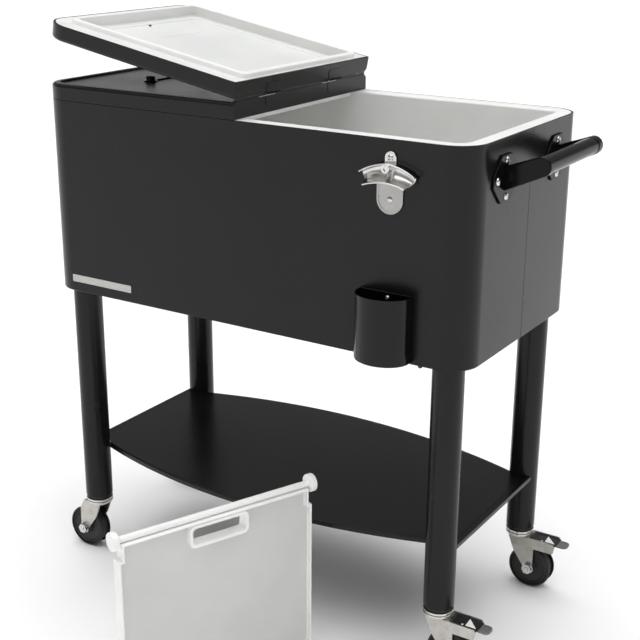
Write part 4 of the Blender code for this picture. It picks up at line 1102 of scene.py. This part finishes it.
opener = {
    "x": 0.265, "wall": -0.1928, "plate": 0.00275, "plateHalf": 0.021, "tabHalf": 0.009, "shoulder": 0.028,
    "shoulderCorner": 0.007, "screwsAt": (0.803, 0.744), "lipThick": 0.0028, "steps": 24, "emboss": 0.0006,
    "rim": 0.0035, "plateEdge": 0.0009, "tongue": 0.0065, "tongueReach": 0.0185, "tongueZ": 0.7895,
    "tongueHigh": 0.006, "tongueEdge": 0.0012, "diamond": (0.0026, 0.0032), "diamondDeep": 0.0015,
    "screwTurn": 0.5,  # in radians
    # Reach from the wall, apex height, half width and fall at the ends of each line that the channel follows
    "lines": ((0.0150, 0.7950, 0.0435, 0.0139), (0.0110, 0.7951, 0.0434, 0.0139),
              (0.0065, 0.7945, 0.0430, 0.0138), (0.0045, 0.7925, 0.0425, 0.0135),
              (0.0040, 0.7890, 0.0415, 0.0128), (0.0050, 0.7840, 0.0395, 0.0112),
              (0.0085, 0.7785, 0.0370, 0.0092), (0.0145, 0.7738, 0.0350, 0.0074),
              (0.0205, 0.7716, 0.0338, 0.0064), (0.0240, 0.7712, 0.0330, 0.0060)),
}
openerScrew = {"radius": 0.0045, "rise": 0.0022, "shank": 0.002, "grip": 0.003}


# The bent channel that takes the crown cap: an arched line, pulled from lip to lip
def makeChannel(facts):
    x, wall, steps, lines = take(facts, "x wall steps lines")
    reach, apex, half, fall = lines[0]
    shares = [2 * step / steps - 1 for step in range(steps + 1)]
    front = [(x + half * share, wall - reach, apex - fall * share ** 2) for share in shares]
    channel = drawLine("opener", front)
    bpy.ops.mesh.select_all(action="SELECT")
    for (reachA, apexA, halfA, fallA), (reachB, apexB, halfB, fallB) in zip(lines, lines[1:]):
        pull((0, reachA - reachB, apexB - apexA))
        bpy.ops.transform.resize(value=(halfB / halfA, 1, fallB / fallA),
                                 center_override=(x, wall - reachB, apexB))
    applied(channel, "SOLIDIFY", thickness=facts["lipThick"], offset=0)
    edit(channel)
    bpy.ops.mesh.select_all(action="SELECT")
    bpy.ops.mesh.normals_make_consistent(inside=False)
    return soften(channel, facts["lipThick"] * 0.46, 4)


# The screw plate with its narrow tab above, and a rim embossed round its lower half
def makePlate(facts):
    x, wide, narrow, corner, rim = take(facts, "x plateHalf tabHalf shoulderCorner rim")
    (top, low), wall = facts["screwsAt"], -facts["wall"]
    face, shoulder = wall + facts["plate"], low + facts["shoulder"]
    outline = arc(x, low, wide, 180, 360, 20) + arc(x + wide - corner, shoulder, corner, 0, 90, 5)
    outline += [(x + narrow, shoulder + corner)] + arc(x, top, narrow, 0, 180, 14)
    outline += [(x - narrow, shoulder + corner)] + arc(x - wide + corner, shoulder, corner, 90, 180, 5)
    plate = rounded(slab("plate", outline, wall, face), level(face), facts["plateEdge"], 3)
    side, upper = wide - rim, shoulder - 0.003
    field = slab("field", arc(x, low, side, 180, 360, 20) + [(x + side, upper), (x - side, upper)],
                 face - facts["emboss"], face + past)
    return put(combine(plate, "DIFFERENCE", field), lay["Y"])


# The tongue has a punched diamond at its end
def makeTongue(facts):
    x, z, radius, (across, up) = take(facts, "x tongueZ tongue diamond")
    wall, high = -facts["wall"], z + facts["tongueHigh"]
    end = wall + facts["tongueReach"]
    outline = arc(x, z, radius, 180, 360, 16) + [(x + radius, high), (x - radius, high)]
    tongue = rounded(slab("tongue", outline, wall, end), level(end), facts["tongueEdge"], 3)
    diamond = [(x, z - up), (x + across, z), (x, z + up), (x - across, z)]
    punch = slab("punch", diamond, end - facts["diamondDeep"], end + past)
    return put(combine(tongue, "DIFFERENCE", punch), lay["Y"])


# The plate is satin up to its shoulders and greyer there, a painted shade, and the rest is polished
def makeOpener(facts):
    piece = combine(makeChannel(facts), "UNION", makePlate(facts), makeTongue(facts))
    front = facts["wall"] - facts["plate"] - tiny
    upper = facts["screwsAt"][1] + facts["shoulder"] + facts["shoulderCorner"]

    def onPlate(face):
        return face.calc_center_median().y > front and face.calc_center_median().z < upper

    return twoLooks(piece, "polishedSteel", "satinShadedSteel", onPlate)


dress(makeOpener(opener), None, "base", "bottle_opener")
openerScrewModel = model(makeScrew(openerScrew))
for name, z, emboss in zip(("top", "low"), opener["screwsAt"], (0, opener["emboss"])):
    seat = at(opener["x"], opener["wall"] - opener["plate"] - hair + emboss, z)
    stamp(openerScrewModel, "openerScrew" + tag(name), "polishedSteel", "base",
          cart @ seat @ lay["Y"] @ turned(opener["screwTurn"]), "opener_screw_" + name)


# Cup, name strip and button

cup = {"x": 0.263, "half": 0.0435, "straight": 0.008, "depth": 0.045, "rim": 0.610, "height": 0.100,
       "wall": 0.002, "foot": 0.003, "floorRadius": 0.004, "edge": 0.0006, "screwAt": (0.2653, 0.6015)}
cupScrew = {"radius": 0.0038, "rise": 0.0022, "shank": 0.0018, "grip": 0.0035}
strip = {"x": (-0.343, -0.215), "z": (0.5245, 0.537), "thick": 0.0008, "corner": 0.0015, "edge": 0.0002}
button = {"at": (0.3176, -0.1876), "profile": ((0, 0.5074), (0.0034, 0.5074), (0.0034, 0.5052),
                                               (0.0026, 0.5038), (0.0012, 0.5033), (0, 0.5032))}


def cupOutline(facts, inset):
    x, straight, depth = take(facts, "x straight depth")
    half, back = facts["half"] - inset, opener["wall"] - inset
    bow = arc(x, opener["wall"] - straight, half, 180, 360, 40, depth - straight - inset)
    return [(x + half, back), (x - half, back)] + bow


def makeCup(facts):
    rim, wall = facts["rim"], facts["wall"]
    low = rim - facts["height"]

    def atFoot(edge):
        return level(low)(edge) and min(corner.co.y for corner in edge.verts) < opener["wall"] - tiny

    outer = rounded(slab("cup", cupOutline(facts, 0), low, rim), atFoot, facts["foot"], 4)
    inner = slab("inner", cupOutline(facts, wall), low + wall, rim + past)
    rounded(inner, level(low + wall), facts["floorRadius"], 4)
    return soften(combine(outer, "DIFFERENCE", inner), facts["edge"], 3)


def makeStrip(facts):
    outline = roundBox(*facts["x"], *facts["z"], facts["corner"])
    plate = slab("nameStrip", outline, -opener["wall"], -opener["wall"] + facts["thick"])
    return soften(put(plate, lay["Y"]), facts["edge"], 2, 40)


dress(makeCup(cup), "glossEnamel", "base", "cap_catcher")
cupSeat = at(cup["screwAt"][0], opener["wall"] - cup["wall"] - hair, cup["screwAt"][1])
stamp(model(makeScrew(cupScrew)), "cupScrew", "polishedSteel", "base", cart @ cupSeat @ lay["Y"])
dress(makeStrip(strip), "brushedSteel", "base", "nameplate")
# A rubber button under the front edge keeps the cabinet off its packing
nub = put(turnUp("edgeButton", button["profile"], 28), at(*button["at"]))
dress(nub, "blackPlastic", "base")
print("opener and cup made")


# Divider panel with its rail, drawn upright and turned to where it stands

divider = {
    "at": (0.092, -0.379), "yaw": 67, "half": 0.162, "panelTop": 0.2897, "depth": 0.020, "wall": 0.003,
    "corner": 0.028, "shoulder": 0.264, "shoulderInset": 0.006, "pocket": 0.0085,
    "hole": (0.0445, 0.255, 0.281), "collar": 0.005, "holeCorner": 0.005, "rod": 0.005, "rodZ": 0.295,
    "disc": 0.014, "discThick": 0.010, "railHalf": 0.170, "edge": 0.0009, "holeEdge": 0.0006,
}
dividerPlace = cart @ at(*divider["at"]) @ turned(math.radians(divider["yaw"]))


def makeDivider(facts):
    half, top, corner, shoulder, pocket, rim = take(facts, "half panelTop corner shoulder pocket collar")
    deep, inner, middle = facts["depth"] / 2, half - facts["shoulderInset"], half - corner
    outline = arc(-middle, corner, corner, 180, 270, 10) + arc(middle, corner, corner, 270, 360, 10)
    outline += [(half, shoulder), (inner, shoulder), (inner, top), (-inner, top), (-inner, shoulder)]
    piece = slab("dividerPanel", outline + [(-half, shoulder)], -deep, deep)
    edit(piece)
    for side in (-1, 1):
        pick("FACE", level(side * deep))
        bpy.ops.mesh.inset(thickness=facts["wall"])
        pull((0, 0, -side * pocket))
    piece = soften(piece, facts["edge"], 3, 40)
    # The hand hole with its collar
    (wide, low, high), bend = facts["hole"], facts["holeCorner"]
    outside = roundBox(-wide - rim, wide + rim, low - rim, high + rim, bend + rim)
    collar = slab("collar", outside, -deep + 3 * hair, deep - 3 * hair)
    opening = slab("opening", roundBox(-wide, wide, low, high, bend), -deep - past, deep + past)
    piece = combine(combine(piece, "UNION", collar), "DIFFERENCE", opening)
    piece = soften(piece, facts["holeEdge"], 2, 60)

    # The faces of the sunk pockets take the greyer polypropylene: painted shade
    def inPocket(face):
        return abs(face.calc_center_median().z) < deep - pocket + tiny and abs(face.normal.z) > 0.9

    return put(twoLooks(piece, "dividerRim", "dividerShadedField", inPocket), lay["Y"])


def makeRod(facts):
    end, disc, radius, thick, z = take(facts, "railHalf disc rod discThick rodZ")
    face = end - thick
    profile = [(0, end), (disc - 0.0018, end), (disc - 0.0005, end - 0.0005), (disc, end - 0.0018),
               (disc, face + 0.0018), (disc - 0.0005, face + 0.0005), (disc - 0.0018, face),
               (radius + 0.0012, face), (radius, face - 0.0012)]
    return put(turnUp("dividerRail", mirrored(profile), 40), at(0, 0, z) @ lay["X"])


dress(makeDivider(divider), None, "divider", "divider_panel", dividerPlace)
dress(makeRod(divider), "dividerRim", "divider", "divider_rail", dividerPlace)
print("divider made")


# Drain with its cap, low in the left end

drain = {
    "y": 0.090, "z": 0.550, "bore": 0.007, "radius": 0.010, "flange": 0.013, "flangeThick": 0.0025,
    "inner": -0.35623, "end": -0.402, "cap": 0.0135, "capThick": 0.0025, "capOpen": -0.3903, "gap": 0.0003,
    "ribs": 36, "ribHeight": 0.0005,
}
drainPlace = at(0, drain["y"], drain["z"]) @ lay["X"]


def makeSpout(facts):
    inner, thick, bore, radius, flange, end = take(facts, "inner flangeThick bore radius flange end")
    face = inner + thick
    profile = [(bore, face), (flange - 0.0008, face), (flange, face - 0.0008), (flange, inner),
               (radius, inner), (radius, end + 0.0005), (radius - 0.0005, end), (bore, end)]
    return put(turnUp("drainSpout", profile, 40, closed=True), drainPlace)


def makeCap(facts):
    gap, rib, strips = facts["gap"], facts["ribHeight"], facts["ribs"] * 2
    radius, inner, seat = facts["cap"] - rib, facts["radius"] + gap, facts["end"] - gap
    mouth, face = facts["capOpen"] - gap, seat - facts["capThick"]
    profile = [(0, seat), (inner, seat), (inner, mouth), (radius, mouth), (radius, face + 0.0006),
               (radius - 0.0006, face), (0, face)]
    cap = turnUp("drainCap", profile, strips)

    # Every second strip of the skirt stands out as a grip rib
    def isRib(face):
        x, y, z = face.calc_center_median()
        number = int((math.atan2(y, x) + math.pi) / math.tau * strips)
        return abs(face.normal.z) < steep and math.hypot(x, y) > radius - rib and number % 2 == 0

    edit(cap)
    pick("FACE", isRib)
    bpy.ops.mesh.inset(thickness=0.0001, depth=rib, use_individual=True)
    return put(cap, drainPlace)


dress(makeSpout(drain), "tubPlastic", "base", "drain_spout")
dress(makeCap(drain), "blackPlastic", "drain_cap", "drain_cap")
print("drain made")


# CAD pieces that keep their shape and take a finish

kept = {
    "powderCoat": ["leg_socket_" + name for name, x, y in corners],
    "zincPlate": ["hinge_pin_front", "hinge_pin_rear"],
    "galvanised": ["base_panel"],
    "foam": ["insulation"],
}
for look, nodes in kept.items():
    for node in nodes:
        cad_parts[node].data.materials.clear()
        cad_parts[node].data.materials.append(looks[look])
for piece in models:
    bpy.data.objects.remove(piece)
